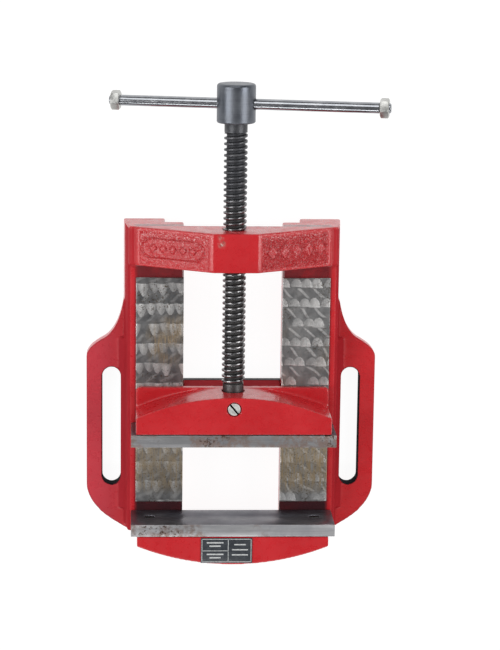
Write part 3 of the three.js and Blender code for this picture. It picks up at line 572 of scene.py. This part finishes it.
RED = red_paint()
SCRAPED = scraped_steel()
SCREW_STEEL = dark_steel("screw_steel", (0.09, 0.09, 0.094), (0.38, 0.37, 0.37))
FASTENER = dark_steel("fastener_steel", (0.05, 0.05, 0.052), (0.13, 0.13, 0.13))
# its near-black tone is painted shade on the keep plate
KEEP_SHADED_STEEL = dark_steel("keep_shaded_steel", (0.012, 0.013, 0.016), (0.04, 0.04, 0.042), (0.55, 0.75))
BLUED = blued_steel()
ZINC_BAR = zinc("zinc_bar", (0.29, 0.30, 0.32), (0.40, 0.41, 0.43), 0.14, 0.24)
ZINC_SMALL = zinc("zinc_small", (0.42, 0.42, 0.40), (0.60, 0.60, 0.58), 0.28, 0.42)
LABEL_BLACK = label_black()
LABEL_WHITE = label_white()


# ---- Castings ------------------------------------------------------------------------------

def copied_node(name, node):
    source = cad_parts[node]
    mesh = source.data.copy()
    mesh.materials.clear()
    piece = bpy.data.objects.new(name, mesh)
    bpy.context.collection.objects.link(piece)
    return piece


def soften_casting(piece, iterations):
    """Rounds every edge of a casting by remeshing it finely and relaxing the result."""
    remesh = piece.modifiers.new("remesh", "REMESH")
    remesh.mode = "VOXEL"
    remesh.voxel_size = VOXEL
    relax = piece.modifiers.new("relax", "SMOOTH")
    relax.factor = 0.5
    relax.iterations = iterations
    apply_modifiers(piece)


def thin_out(piece, share):
    thin = piece.modifiers.new("thin", "DECIMATE")
    thin.ratio = share
    apply_modifiers(piece)


def band(value, low, high, soft):
    """1 between low and high, falling to 0 over soft on each side."""
    return max(0.0, min(1.0, (value - low) / soft, (high - value) / soft))


def capsule_ring(u, v, half_length, half_width, line):
    """1 on the outline of a rounded bar centred on (0, 0)."""
    along = max(abs(u) - (half_length - half_width), 0)
    distance = math.hypot(along, v) - half_width
    return band(distance, -line / 2, line / 2, 0.5 * MM)


def wing_relief(x, y, y_front, y_rear):
    """(height, roughness) of the cast panel on a sloping wing, from plain raised shapes."""
    slope_from = BEAM_HUB_HALF + 2.5 * MM
    slope_to = WAY_OUTER - 2 * MM
    across = band(abs(x), slope_from, slope_to, MM)
    along = band(y, y_front + 2.2 * MM, y_rear - 1.4 * MM, MM)
    panel = across * along
    u = abs(x) - (slope_from + slope_to) / 2 - 1 * MM
    v = y - (y_front + y_rear) / 2
    height = -0.7 * MM * panel
    if x > 0:
        height += 1.2 * MM * capsule_ring(u, v, 22.5 * MM, 7.2 * MM, 1.6 * MM)
        for k in range(-2, 3):
            lozenge = abs(u - k * 7.2 * MM) * 1.3 + abs(v)
            height += 1.1 * MM * band(lozenge, -MM, 3.6 * MM, 0.6 * MM)
    else:
        for k in range(-2, 3):
            lozenge = abs(u - k * 9.2 * MM) * 1.5 + abs(v)
            height += 1.1 * MM * band(lozenge, -MM, 5.8 * MM, 0.6 * MM)
    return height, panel


def add_values(piece, name, values):
    layer = piece.data.attributes.new(name, "FLOAT", "POINT")
    layer.data.foreach_set("value", values)


def hub_chip(point):
    """1 at the few bare spots on the handle side of the hub top."""
    spots = (
        (11.2, -237.6, 1.2), (9.0, -233.8, 1.3), (10.4, -232.8, 1.5),
        (11.8, -231.8, 1.2), (12.6, -239.0, 0.8),
    )
    best = 0.0
    for x, y, radius in spots:
        away = math.hypot(point.x - x * MM, point.y - y * MM)
        best = max(best, band(away, -MM, radius * MM, 0.7 * MM))
    return best


def body_painted_shade(point):
    """1 in the unmachined strips at both ends of the ways and along their outer edge, where painted
    shade darkens the paint.
    """
    if point.z > WAY_Z + 0.5 * MM or point.z < CAST_TOP - 6 * MM:
        return 0.0
    if abs(point.x) < WAY_OUTER:
        return 0.85
    return 0.5 * band(abs(point.x), WAY_OUTER - MM, WAY_OUTER + 1.2 * MM, 0.8 * MM)


def wall_dull_shade(point, normal, low):
    """1 on the outer walls, fillets and shoulders, where the paint has no shine and carries painted
    shade.
    """
    if point.y < low[1] + 1.5 * MM:
        return 0.0
    if point.y < WAY_FRONT_Y and point.z > CAST_TOP:
        return 0.7 * band(abs(point.x), WAY_OUTER, 1, 1.5 * MM)
    walls = band(point.z, FLANGE_TOP - MM, CAST_TOP + MM, 0.6 * MM)
    walls *= band(abs(point.x), WAY_OUTER, 1, 0.5 * MM)
    return walls * band(normal.z, -2, 0.985, 0.03)


def slot_painted_shadow(point, normal):
    """1 on the walls of the bolt slots, which carry near-black painted shadow, and 0.8 for the
    painted shade beside the fixed jaw.
    """
    if point.y > WAY_REAR_Y and abs(point.x) < WAY_OUTER and point.z < WAY_Z + 0.5 * MM:
        return 0.8 * band(point.z, CAST_TOP - 6 * MM, 1, MM)
    if point.z > FLANGE_TOP or abs(normal.z) > 0.85:
        return 0.0
    across = band(abs(point.x), SLOT_X - SLOT_HALF - MM, SLOT_X + SLOT_HALF + MM, 0.3 * MM)
    return across * band(point.y, SLOT_FRONT_Y - MM, SLOT_REAR_Y + MM, 0.3 * MM)


def body_piece():
    piece = copied_node("body", "body_casting")
    over = 1 * MM
    trims = []
    for side in (-1, 1):
        x_low, x_high = sorted((side * (WAY_INNER - over), side * (WAY_OUTER + 0.3 * MM)))
        low = (x_low, WAY_FRONT_Y - 0.2 * MM, CAST_TOP)
        high = (x_high, WAY_REAR_Y + 0.2 * MM, WAY_Z + over)
        trims.append(block("trim", low, high))
    cut(piece, trims)
    soften_casting(piece, 5)
    y_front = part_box("body_casting")[0][1]
    y_rear = y_front + 29.2 * MM
    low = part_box("body_casting")[0]
    values = {key: [] for key in ("rough_cast", "glint", "chip", "painted_shade", "dull_shaded", "painted_shadow")}
    for vertex in piece.data.vertices:
        p = vertex.co.copy()
        n = vertex.normal.copy()
        roughness, chip, glint = 0.0, 0.0, 0.0
        if y_front < p.y < y_rear and p.z > WING_END_Z - 3 * MM and n.z > 0.6:
            if BEAM_HUB_HALF < abs(p.x) < WAY_OUTER:
                height, roughness = wing_relief(p.x, p.y, y_front, y_rear)
                lumps = noise.fractal(p * 420, 0.8, 2.0, 4) * 0.25 * MM * roughness
                vertex.co = p + n * (height + lumps)
                near_edge = math.exp((y_front - p.y) / (9 * MM))
                glint = min(1.0, 0.25 + near_edge) * (0.4 + 0.6 * roughness)
            chip = hub_chip(p) if p.z > BEAM_HUB_TOP - 2 * MM else 0.0
        values["rough_cast"].append(roughness)
        values["glint"].append(glint)
        values["chip"].append(chip)
        values["painted_shade"].append(body_painted_shade(p))
        values["dull_shaded"].append(wall_dull_shade(p, n, low))
        values["painted_shadow"].append(slot_painted_shadow(p, n))
    for key, numbers in values.items():
        add_values(piece, key, numbers)
    thin_out(piece, 0.4)
    return finish_piece(piece, RED, "red_paint", "base", "body_casting")


def chance(a, b):
    """A repeatable number between 0 and 1 for a pair of whole numbers."""
    value = math.sin(a * 12.9898 + b * 78.233) * 43758.5453
    return value - math.floor(value)


def left_lobe(dx, dy, half_width, reach, tone):
    """A scrape with a straight handle-side edge and a rounded far side, bright in the middle."""
    if dy < 0 or abs(dx) > half_width:
        return None
    if dy > reach * (1 - (abs(dx) / half_width) ** 1.9):
        return None
    side = 1 - 0.7 * abs(dx / half_width - 0.2) ** 1.3
    return tone * side * (1 - 0.35 * dy / reach)


def right_lobe(dx, dy, half_width, reach, tone):
    """A half moon with a straight far side. It brightens towards one end."""
    if dy > 0 or abs(dx) > half_width:
        return None
    if -dy > reach * math.sqrt(1 - (dx / half_width) ** 2):
        return None
    return tone * (0.78 - 0.30 * dx / half_width) * (1 + 0.25 * dy / reach)


def fan_shade(x, y):
    """Brightness of the hand-scraped fans at one point of the ways."""
    left = x > 0
    step_y, step_x = (15.2 * MM, 7.0 * MM) if left else (15.0 * MM, 8.4 * MM)
    value = (0.08 if left else 0.19) + 0.10 * noise.noise(Vector((x * 90, y * 30, 0)))
    value += 0.14 * noise.noise(Vector((x * 240, y * 160, 3)))
    value += 0.12 * band(y, -90 * MM, 1, 10 * MM)
    row = math.floor(y / step_y)
    if not left:
        bend = 3 * noise.noise(Vector((x * 55, y * 55, 4)))
        swirl = math.sin((x * 0.9 + y * 0.8) / (1.7 * MM) + bend)
        value += 0.42 * band(swirl, 0.72, 2, 0.2) * band(y / step_y - row, 0.05, 0.6, 0.08)
    if left:
        faint = math.sin((x * 0.8 - y) / (1.5 * MM) + 4 * noise.noise(Vector((x * 60, y * 60, 8))))
        value += 0.16 * band(faint, 0.2, 2, 0.7) * band(y / step_y - row, 0.5, 1.0, 0.1)
        y += 0.7 * MM * noise.noise(Vector((x * 300, y * 90, 6)))
    for r in (row - 1, row, row + 1):
        shift = chance(r, 0) * step_x
        column = math.floor((x + shift) / step_x)
        for c in (column - 1, column, column + 1):
            wobble = chance(r, c)
            if chance(c, r + 0.5) < 0.06:
                continue
            dx = x - ((c + 0.5 + 0.25 * (wobble - 0.5)) * step_x - shift)
            dy = y - (r * step_y + 1.0 * MM * wobble)
            tone = (0.52 if left else 0.58) + 0.42 * wobble
            if left:
                scrape = left_lobe(dx, dy, 4.6 * MM, (7.0 + 3.0 * wobble) * MM, tone)
            else:
                scrape = right_lobe(dx, dy, 4.3 * MM, (5.8 + 1.8 * wobble) * MM, tone + 0.15)
            if scrape is not None:
                grain = 0.10 * math.sin(math.atan2(dx, abs(dy) + 3 * MM) * 60 + wobble * 9)
                value = max(value, scrape + grain)
    return max(0.0, min(1.0, value))


def way_stain(x, y):
    """Brown staining, strong beside the fixed jaw and in a few patches further off."""
    near_jaw = band(y, -90 * MM, -34 * MM, 9 * MM) * (1.0 if x < 0 else 0.75)
    patches = max(0.0, noise.noise(Vector((x * 38 + 5, y * 38, 2))) - 0.12) * 1.6
    further = patches * band(y, -176 * MM, -96 * MM, 12 * MM) * (1.0 if x > 0 else 0.4)
    away = math.hypot(x - 52 * MM, (y + 152 * MM) * 0.8)
    speckle = 0.6 + noise.noise(Vector((x * 120, y * 120, 9)))
    blot = 0.9 * band(away, -1, 17 * MM, 11 * MM) * speckle
    return max(0.0, min(1.0, near_jaw + further + blot))


def way_piece(side):
    """One machined way: a fine grid so that the scraping is in the mesh itself."""
    step = 0.4 * MM
    columns = round((WAY_OUTER - WAY_INNER) / step)
    rows = round((WAY_REAR_Y - WAY_FRONT_Y) / step)
    name = "way_left" if side < 0 else "way_right"
    bm = bmesh.new()
    grid = []
    for i in range(columns + 1):
        x = side * (WAY_INNER + (WAY_OUTER - WAY_INNER) * i / columns)
        line = []
        for j in range(rows + 1):
            y = WAY_FRONT_Y + (WAY_REAR_Y - WAY_FRONT_Y) * j / rows
            rim = i in (0, columns) or j in (0, rows)
            z = WAY_Z - (0.25 * MM if rim else 0)
            line.append(bm.verts.new((x, y, z)))
        grid.append(line)
    for i in range(columns):
        for j in range(rows):
            bm.faces.new((grid[i][j], grid[i + 1][j], grid[i + 1][j + 1], grid[i][j + 1]))
    skirt = [e for e in bm.edges if e.is_boundary]
    lower = bmesh.ops.extrude_edge_only(bm, edges=skirt)["geom"]
    corners = [v for v in lower if isinstance(v, bmesh.types.BMVert)]
    for vert in corners:
        vert.co.z = CAST_TOP - 0.6 * MM
    bmesh.ops.holes_fill(bm, edges=[e for e in bm.edges if e.is_boundary], sides=0)
    piece = as_object(name, bm)
    points = [v.co.copy() for v in piece.data.vertices]
    add_values(piece, "fan", [fan_shade(p.x, p.y) if p.z > CAST_TOP + MM else 0.3 for p in points])
    add_values(piece, "stain", [way_stain(p.x, p.y) for p in points])
    return finish_piece(piece, SCRAPED, "jaw_steel", "base")


def tongue_share(point):
    """1 on the part of the sliding jaw that hangs between the rails, where the paint is matt and
    carries painted shade.
    """
    return band(abs(point.x), -1, WAY_INNER, MM) * band(point.z, -1, WAY_Z + 1.5 * MM, MM)


def moving_jaw_piece():
    piece = copied_node("sliding_jaw", "moving_jaw")
    soften_casting(piece, 4)
    thin_out(piece, 0.4)
    tongue = [tongue_share(vertex.co) for vertex in piece.data.vertices]
    add_values(piece, "dull_shaded", tongue)
    add_values(piece, "painted_shade", [0.5 * share for share in tongue])
    at = centre("retaining_screw")
    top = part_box("moving_jaw")[1][2]
    place = (at.x, at.y, 0)
    cut(piece, [drill("bore", RETAINER_BORE_RADIUS, top - 3 * MM, top + MM, place, 48, "Z")])
    return finish_piece(piece, RED, "red_paint", "carriage", "moving_jaw")


# ---- Jaw plates and their screws -----------------------------------------------------------

def countersink(name, x, z, face_y, inwards):
    """Cutter for a countersunk hole that opens at face_y."""
    profile = [(0, -1.0), (4.5, -1.0), (4.5, 0.2), (2.9, 2.0), (2.9, 10.0), (0, 10.0)]
    scaled = [(radius * MM, inwards * depth * MM) for radius, depth in profile]
    return turned(name, scaled, (x, face_y, z), 48)


def plate_piece(name, node, screws, face_y, inwards, body, tone, flip):
    low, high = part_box(node)
    plate = block(name, low, high)
    cutters = [countersink("sink", centre(s).x, centre(s).z, face_y, inwards) for s in screws]
    cut(plate, cutters)
    add_bevel(plate, 0.45 * MM, 3)
    steel = jaw_steel(name + "_steel", tone, high[2], flip)
    return finish_piece(plate, steel, "jaw_steel", body, node)


def plate_screw_piece(node, face_y, inwards, body):
    at = centre(node)
    top, depth = 0.3, 19.0
    profile = [
        (0, top), (4.0, top), (4.1, top + 0.2), (2.5, 1.8),
        (2.5, depth - 1), (2, depth), (0, depth),
    ]
    scaled = rounded([(radius * MM, inwards * d * MM) for radius, d in profile], 0.15 * MM, 2)
    screw = turned(node + "_fine", scaled, (at.x, face_y, at.z), 48)
    half, reach = 0.6 * MM, 6 * MM
    y_low, y_high = sorted((face_y - inwards * MM, face_y + inwards * 1.5 * MM))
    slot = block("slot", (at.x - reach, y_low, at.z - half), (at.x + reach, y_high, at.z + half))
    cut(screw, [slot])
    return finish_piece(screw, FASTENER, "fastener_steel", body, node)


# ---- Small pieces --------------------------------------------------------------------------

def retaining_screw_piece():
    low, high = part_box("retaining_screw")
    at = centre("retaining_screw")
    length = (high[2] - low[2]) / MM
    profile = [
        (0, 0), (2.6, 0), (3.0, 0.5), (3.0, 2.0), (4.8, 2.4),
        (4.8, length - 0.4), (4.4, length), (0, length),
    ]
    scaled = [(radius * MM, height * MM) for radius, height in profile]
    screw = turned("retaining_screw_fine", scaled, (at.x, at.y, low[2]), 48, "Z")
    slot = block("slot", (-9 * MM, -0.7 * MM, -1.7 * MM), (9 * MM, 0.7 * MM, 2 * MM))
    place = Matrix.Translation((at.x, at.y, high[2])) @ Matrix.Rotation(SLOT_TURN, 4, "Z")
    slot.data.transform(place)
    cut(screw, [slot])
    add_bevel(screw, 0.1 * MM, 2)
    return finish_piece(screw, slotted_zinc(high[2]), "zinc_small", "carriage", "retaining_screw")


def keep_plate_piece():
    low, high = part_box("keep_plate")
    plate = block("keep_plate_fine", low, high)
    drills = []
    for node in ("keep_bolt_left", "keep_bolt_right"):
        at = centre(node)
        place = (at.x, at.y, low[2])
        drills.append(drill("drill", KEEP_HOLE_RADIUS, -20 * MM, 20 * MM, place, 40, "Z"))
    cut(plate, drills)
    add_bevel(plate, 0.6 * MM, 3)
    return finish_piece(plate, KEEP_SHADED_STEEL, "screw_steel", "carriage", "keep_plate")


def keep_bolt_piece(node):
    low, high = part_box(node)
    at = centre(node)
    head_height = 5.3 * MM
    head = hexagon_prism(node + "_fine", NUT_FLATS, head_height, (0, 0, 0))
    head.data.transform(Matrix.Rotation(math.pi / 2, 4, "X"))
    head.data.transform(Matrix.Translation((at.x, at.y, low[2] + head_height / 2)))
    shank_length = high[2] - low[2] - head_height
    profile = [
        (0, -MM), (4 * MM, -MM), (4 * MM, shank_length - MM),
        (3.2 * MM, shank_length), (0, shank_length),
    ]
    shank = turned("shank", profile, (at.x, at.y, low[2] + head_height), 40, "Z")
    bolt = join([head, shank])
    return finish_piece(bolt, FASTENER, "fastener_steel", "carriage", node)


def keep_washer_piece(node):
    low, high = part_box(node)
    at = centre(node)
    thick = high[2] - low[2]
    bm = bmesh.new()
    section = [
        (4.5, 0.15), (4.65, 0), (7.0, 0), (7.2, 0.2),
        (7.2, 1.4), (7.0, 1.6), (4.65, 1.6), (4.5, 1.45),
    ]
    sweep, gap = 44, math.radians(6)
    rings = []
    for step in range(sweep + 1):
        angle = math.pi / 2 + gap + (2 * math.pi - 2 * gap) * step / sweep
        ring = []
        for radius, height in section:
            x = at.x + radius * MM * math.cos(angle)
            y = at.y + radius * MM * math.sin(angle)
            ring.append(bm.verts.new((x, y, low[2] + height / 1.6 * thick)))
        rings.append(ring)
    count = len(section)
    for near, far in zip(rings, rings[1:]):
        for i in range(count):
            bm.faces.new((near[i], near[(i + 1) % count], far[(i + 1) % count], far[i]))
    bm.faces.new(rings[0])
    bm.faces.new(rings[-1])
    return finish_piece(as_object(node + "_fine", bm), ZINC_SMALL, "zinc_small", "carriage", node)


def label_pieces():
    """Nameplate with three blank ruled cells. The rules and bars are raised, with no lettering."""
    low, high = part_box("label_plate")
    plate = block("label_fine", low, high)
    add_bevel(plate, 0.12 * MM, 2, 60)
    finish_piece(plate, LABEL_BLACK, "label_black", "base", "label_plate")
    x_low, y_low, x_high, y_high = low[0], low[1], high[0], high[1]
    inset, line = 0.7 * MM, 0.45 * MM
    z_low, z_high = high[2] - 0.1 * MM, high[2] + 0.05 * MM
    left, right = x_low + inset, x_high - inset
    near, far = y_low + inset, y_high - inset
    split_x = left + 0.46 * (right - left)
    split_y = (near + far) / 2
    bars = [
        (left, near, right, near + line),
        (left, far - line, right, far),
        (left, near, left + line, far),
        (right - line, near, right, far),
        (split_x, near, split_x + line, far),
        (split_x, split_y, right, split_y + line),
    ]
    cell = split_x - left
    for k, share in enumerate((0.5, 0.7, 0.7)):
        y = near + (0.22 + 0.22 * k) * (far - near)
        x_from, x_to = left + cell * (1 - share) / 2, left + cell * (1 + share) / 2
        bars.append((x_from, y, x_to, y + 2.1 * line))
    cell = right - split_x
    for middle in (0.25, 0.75):
        y = near + middle * (far - near)
        for k, share in enumerate((0.62, 0.42)):
            y_bar = y + (k - 0.8) * 2.6 * MM
            x_middle, reach = split_x + cell / 2, cell * share / 2
            bars.append((x_middle - reach, y_bar, x_middle + reach, y_bar + 2.4 * line))
    made = [block("rule", (a, b, z_low), (c, d, z_high)) for a, b, c, d in bars]
    rules = join(made)
    rules.name = "label_rules"
    finish_piece(rules, LABEL_WHITE, "label_black", "base")


# ---- Lead screw and handle -----------------------------------------------------------------

def thread_root(point, y_from, y_to):
    """1 in the roots of the thread, 0 on its crests, and nearly 1 on the plain parts."""
    if not y_from < point.y < y_to:
        return 0.8
    radius = math.hypot(point.x, point.z)
    return band(radius, -1, ROOT_RADIUS + 0.9 * MM, 0.6 * MM)


def lead_screw_piece():
    low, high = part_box("lead_screw")
    z = centre("lead_screw").z
    y_tip = high[1]
    y_journal = y_tip - JOURNAL_LENGTH
    y_groove = centre("retaining_screw").y
    y_from, y_to = y_groove - GROOVE_HALF, y_groove + GROOVE_HALF
    head_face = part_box("handle_head")[1][1]
    shoulder = head_face + FIT
    y_neck = head_face + NECK_LENGTH
    core = ROOT_RADIUS - 0.05 * MM
    thread = thread_object("lead_screw_fine", SCREW_RADIUS, ROOT_RADIUS, PITCH, y_neck, y_journal)
    journal_profile = [
        (0, y_journal - 2 * PITCH), (core, y_journal - 2 * PITCH),
        (core, y_journal), (JOURNAL_RADIUS, y_journal),
        (JOURNAL_RADIUS, y_from), (GROOVE_RADIUS, y_from),
        (GROOVE_RADIUS, y_to), (JOURNAL_RADIUS, y_to),
        (JOURNAL_RADIUS, y_tip - MM), (JOURNAL_RADIUS - MM, y_tip), (0, y_tip),
    ]
    journal = turned("journal", rounded(journal_profile, 0.4 * MM, 3), (0, 0, 0), 48)
    neck_profile = [
        (0, low[1]), (TENON_RADIUS, low[1]), (TENON_RADIUS, shoulder),
        (NECK_RADIUS, shoulder), (NECK_RADIUS, y_neck + 0.3 * MM), (core, y_neck + 0.9 * MM),
        (core, y_neck + 2 * PITCH), (0, y_neck + 2 * PITCH),
    ]
    neck = turned("neck", neck_profile, (0, 0, 0), 48)
    screw = join([thread, journal, neck])
    add_values(screw, "root", [thread_root(v.co, y_neck, y_journal) for v in screw.data.vertices])
    beam_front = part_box("body_casting")[0][1]
    add_values(screw, "dry", [band(v.co.y, -1, beam_front, 30 * MM) for v in screw.data.vertices])
    screw.data.transform(Matrix.Translation((0, 0, z)))
    return finish_piece(screw, SCREW_STEEL, "screw_steel", "spindle", "lead_screw")


def handle_place():
    """Turns handle pieces from their own frame, with X along the bar, to the vise's frame."""
    at = centre("tommy_bar")
    screw_z = centre("lead_screw").z
    return Matrix.Translation((0, at.y, screw_z)) @ Matrix.Rotation(BAR_TILT, 4, "Y")


def head_piece():
    low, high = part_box("handle_head")
    bar_y = centre("tommy_bar").y
    front, back = low[1] - bar_y, high[1] - bar_y
    profile = [
        (0, front), (HEAD_RADIUS - 1.2 * MM, front), (HEAD_RADIUS, front + 1.2 * MM),
        (HEAD_RADIUS, back - 0.8 * MM), (HEAD_RADIUS - 0.8 * MM, back), (0, back),
    ]
    head = turned("head_fine", rounded(profile, 0.8 * MM, 4), (0, 0, 0), 96)
    reach = HEAD_RADIUS + MM
    hole = drill("hole", HEAD_HOLE_RADIUS, -reach, reach, (0, 0, 0), 64, "X")
    socket = drill("socket", SOCKET_RADIUS, back - SOCKET_DEPTH, back + MM, (0, 0, 0), 48)
    cut(head, [hole, socket])
    add_bevel(head, 0.35 * MM, 2, 40)
    head.data.transform(handle_place())
    return finish_piece(head, BLUED, "blued_steel", "spindle", "handle_head")


def bar_pieces():
    half = BAR_LENGTH / 2
    place = handle_place() @ Matrix.Translation((BAR_SLID, 0, 0))
    seat = half - BAR_STUB - NUT_LENGTH - FIT
    edge = 0.5 * MM
    profile = [
        (0, -seat), (BAR_RADIUS - edge, -seat), (BAR_RADIUS, -seat + edge),
        (BAR_RADIUS, seat - edge), (BAR_RADIUS - edge, seat), (0, seat),
    ]
    bar = turned("bar", profile, (0, 0, 0), 48, "X")
    ends = []
    for side in (-1, 1):
        end_profile = [
            (0, 0), (3.55 * MM, 0), (3.55 * MM, half - seat - 0.6 * MM),
            (2.9 * MM, half - seat), (0, half - seat),
        ]
        ordered = [(radius, side * (seat + along)) for radius, along in end_profile]
        ends.append(turned("end", rounded(ordered, 0.2 * MM, 2), (0, 0, 0), 40, "X"))
    whole = join([bar, *ends])
    whole.name = "tommy_bar_fine"
    whole.data.transform(place)
    finish_piece(whole, ZINC_BAR, "zinc_bar", "bar", "tommy_bar")
    for side, node in ((-1, "bar_nut_left"), (1, "bar_nut_right")):
        blank = hexagon_prism(node + "_fine", NUT_FLATS, NUT_LENGTH, (0, 0, 0), math.radians(11))
        blank.data.transform(Matrix.Rotation(math.pi / 2, 4, "Z"))
        blank.data.transform(Matrix.Translation((side * (half - BAR_STUB - NUT_LENGTH / 2), 0, 0)))
        hole = drill("drill", NUT_HOLE_RADIUS, -half - MM, half + MM, (0, 0, 0), 40, "X")
        cut(blank, [hole])
        add_bevel(blank, 0.2 * MM, 2)
        blank.data.transform(place)
        finish_piece(blank, ZINC_SMALL, "zinc_small", "bar", node)


# ---- Everything ----------------------------------------------------------------------------

body_piece()
way_piece(-1)
way_piece(1)
moving_jaw_piece()

fixed_face_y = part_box("fixed_jaw_plate")[0][1]
moving_face_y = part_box("moving_jaw_plate")[1][1]
fixed_screws = ("fixed_plate_screw_left", "fixed_plate_screw_right")
moving_screws = ("moving_plate_screw_left", "moving_plate_screw_right")
plate_piece(
    "fixed_plate_fine", "fixed_jaw_plate", fixed_screws, fixed_face_y, 1, "base", 0.95, -1
)
plate_piece(
    "moving_plate_fine", "moving_jaw_plate", moving_screws, moving_face_y, -1, "carriage", 0.66, 1
)
for screw_node in fixed_screws:
    plate_screw_piece(screw_node, fixed_face_y, 1, "base")
for screw_node in moving_screws:
    plate_screw_piece(screw_node, moving_face_y, -1, "carriage")
retaining_screw_piece()
keep_plate_piece()
for side in ("left", "right"):
    keep_bolt_piece("keep_bolt_" + side)
    keep_washer_piece("keep_washer_" + side)
label_pieces()
lead_screw_piece()
head_piece()
bar_pieces()


# ---- Camera, floor and light ---------------------------------------------------------------

def add_camera():
    """Looks down from above the handle side. The handle is at the top of the picture."""
    location = Vector((0.0741, -0.5253, 1.7371))
    target = Vector((-0.0125, -0.1666, 0.040))
    roll = 0.013
    forward = (target - location).normalized()
    right = forward.cross(Vector((0, -1, 0))).normalized()
    up = right.cross(forward)
    tilt_right = right * math.cos(roll) + up * math.sin(roll)
    tilt_up = up * math.cos(roll) - right * math.sin(roll)
    camera = bpy.data.cameras.new("camera")
    camera.sensor_fit = "VERTICAL"
    camera.sensor_height = 36
    camera.lens = 128.8
    holder = bpy.data.objects.new("camera", camera)
    turn = Matrix((tilt_right, tilt_up, -forward)).transposed().to_4x4()
    holder.matrix_world = Matrix.Translation(location) @ turn
    bpy.context.collection.objects.link(holder)
    bpy.context.scene.camera = holder


def add_floor():
    floor = block("floor", (-6, -6, -0.011), (6, 6, -0.001))
    s = Shader("floor_white", 0.0)
    s.colour((0.14, 0.14, 0.14))
    s.roughness(0.95)
    s.surface.inputs["Specular IOR Level"].default_value = 0.0
    s.surface.inputs["Emission Color"].default_value = (1, 1, 1, 1)
    s.surface.inputs["Emission Strength"].default_value = 0.93
    floor.data.materials.append(s.material)


def add_softbox(name, location, size, power):
    light = bpy.data.lights.new(name, "AREA")
    light.shape = "RECTANGLE"
    light.size, light.size_y = size
    light.energy = power
    holder = bpy.data.objects.new(name, light)
    holder.location = location
    aim = Vector((0, -0.15, 0.03)) - Vector(location)
    holder.rotation_euler = aim.to_track_quat("-Z", "Y").to_euler()
    bpy.context.collection.objects.link(holder)


def add_world():
    world = bpy.data.worlds.new("studio")
    world.use_nodes = True
    background = world.node_tree.nodes["Background"]
    background.inputs["Color"].default_value = (0.97, 0.98, 1.0, 1)
    background.inputs["Strength"].default_value = 0.24
    bpy.context.scene.world = world
    bpy.context.scene.view_settings.view_transform = "Standard"


add_camera()
add_floor()
add_world()
add_softbox("softbox_handle_side", (0.15, -1.25, 0.95), (1.1, 0.7), 5.5)
add_softbox("softbox_left", (1.05, -0.2, 1.0), (0.7, 0.9), 9)
add_softbox("softbox_right", (-1.05, -0.2, 1.0), (0.6, 0.8), 8)
add_softbox("softbox_jaw_side", (0.1, 0.85, 0.9), (1.0, 0.25), 4)
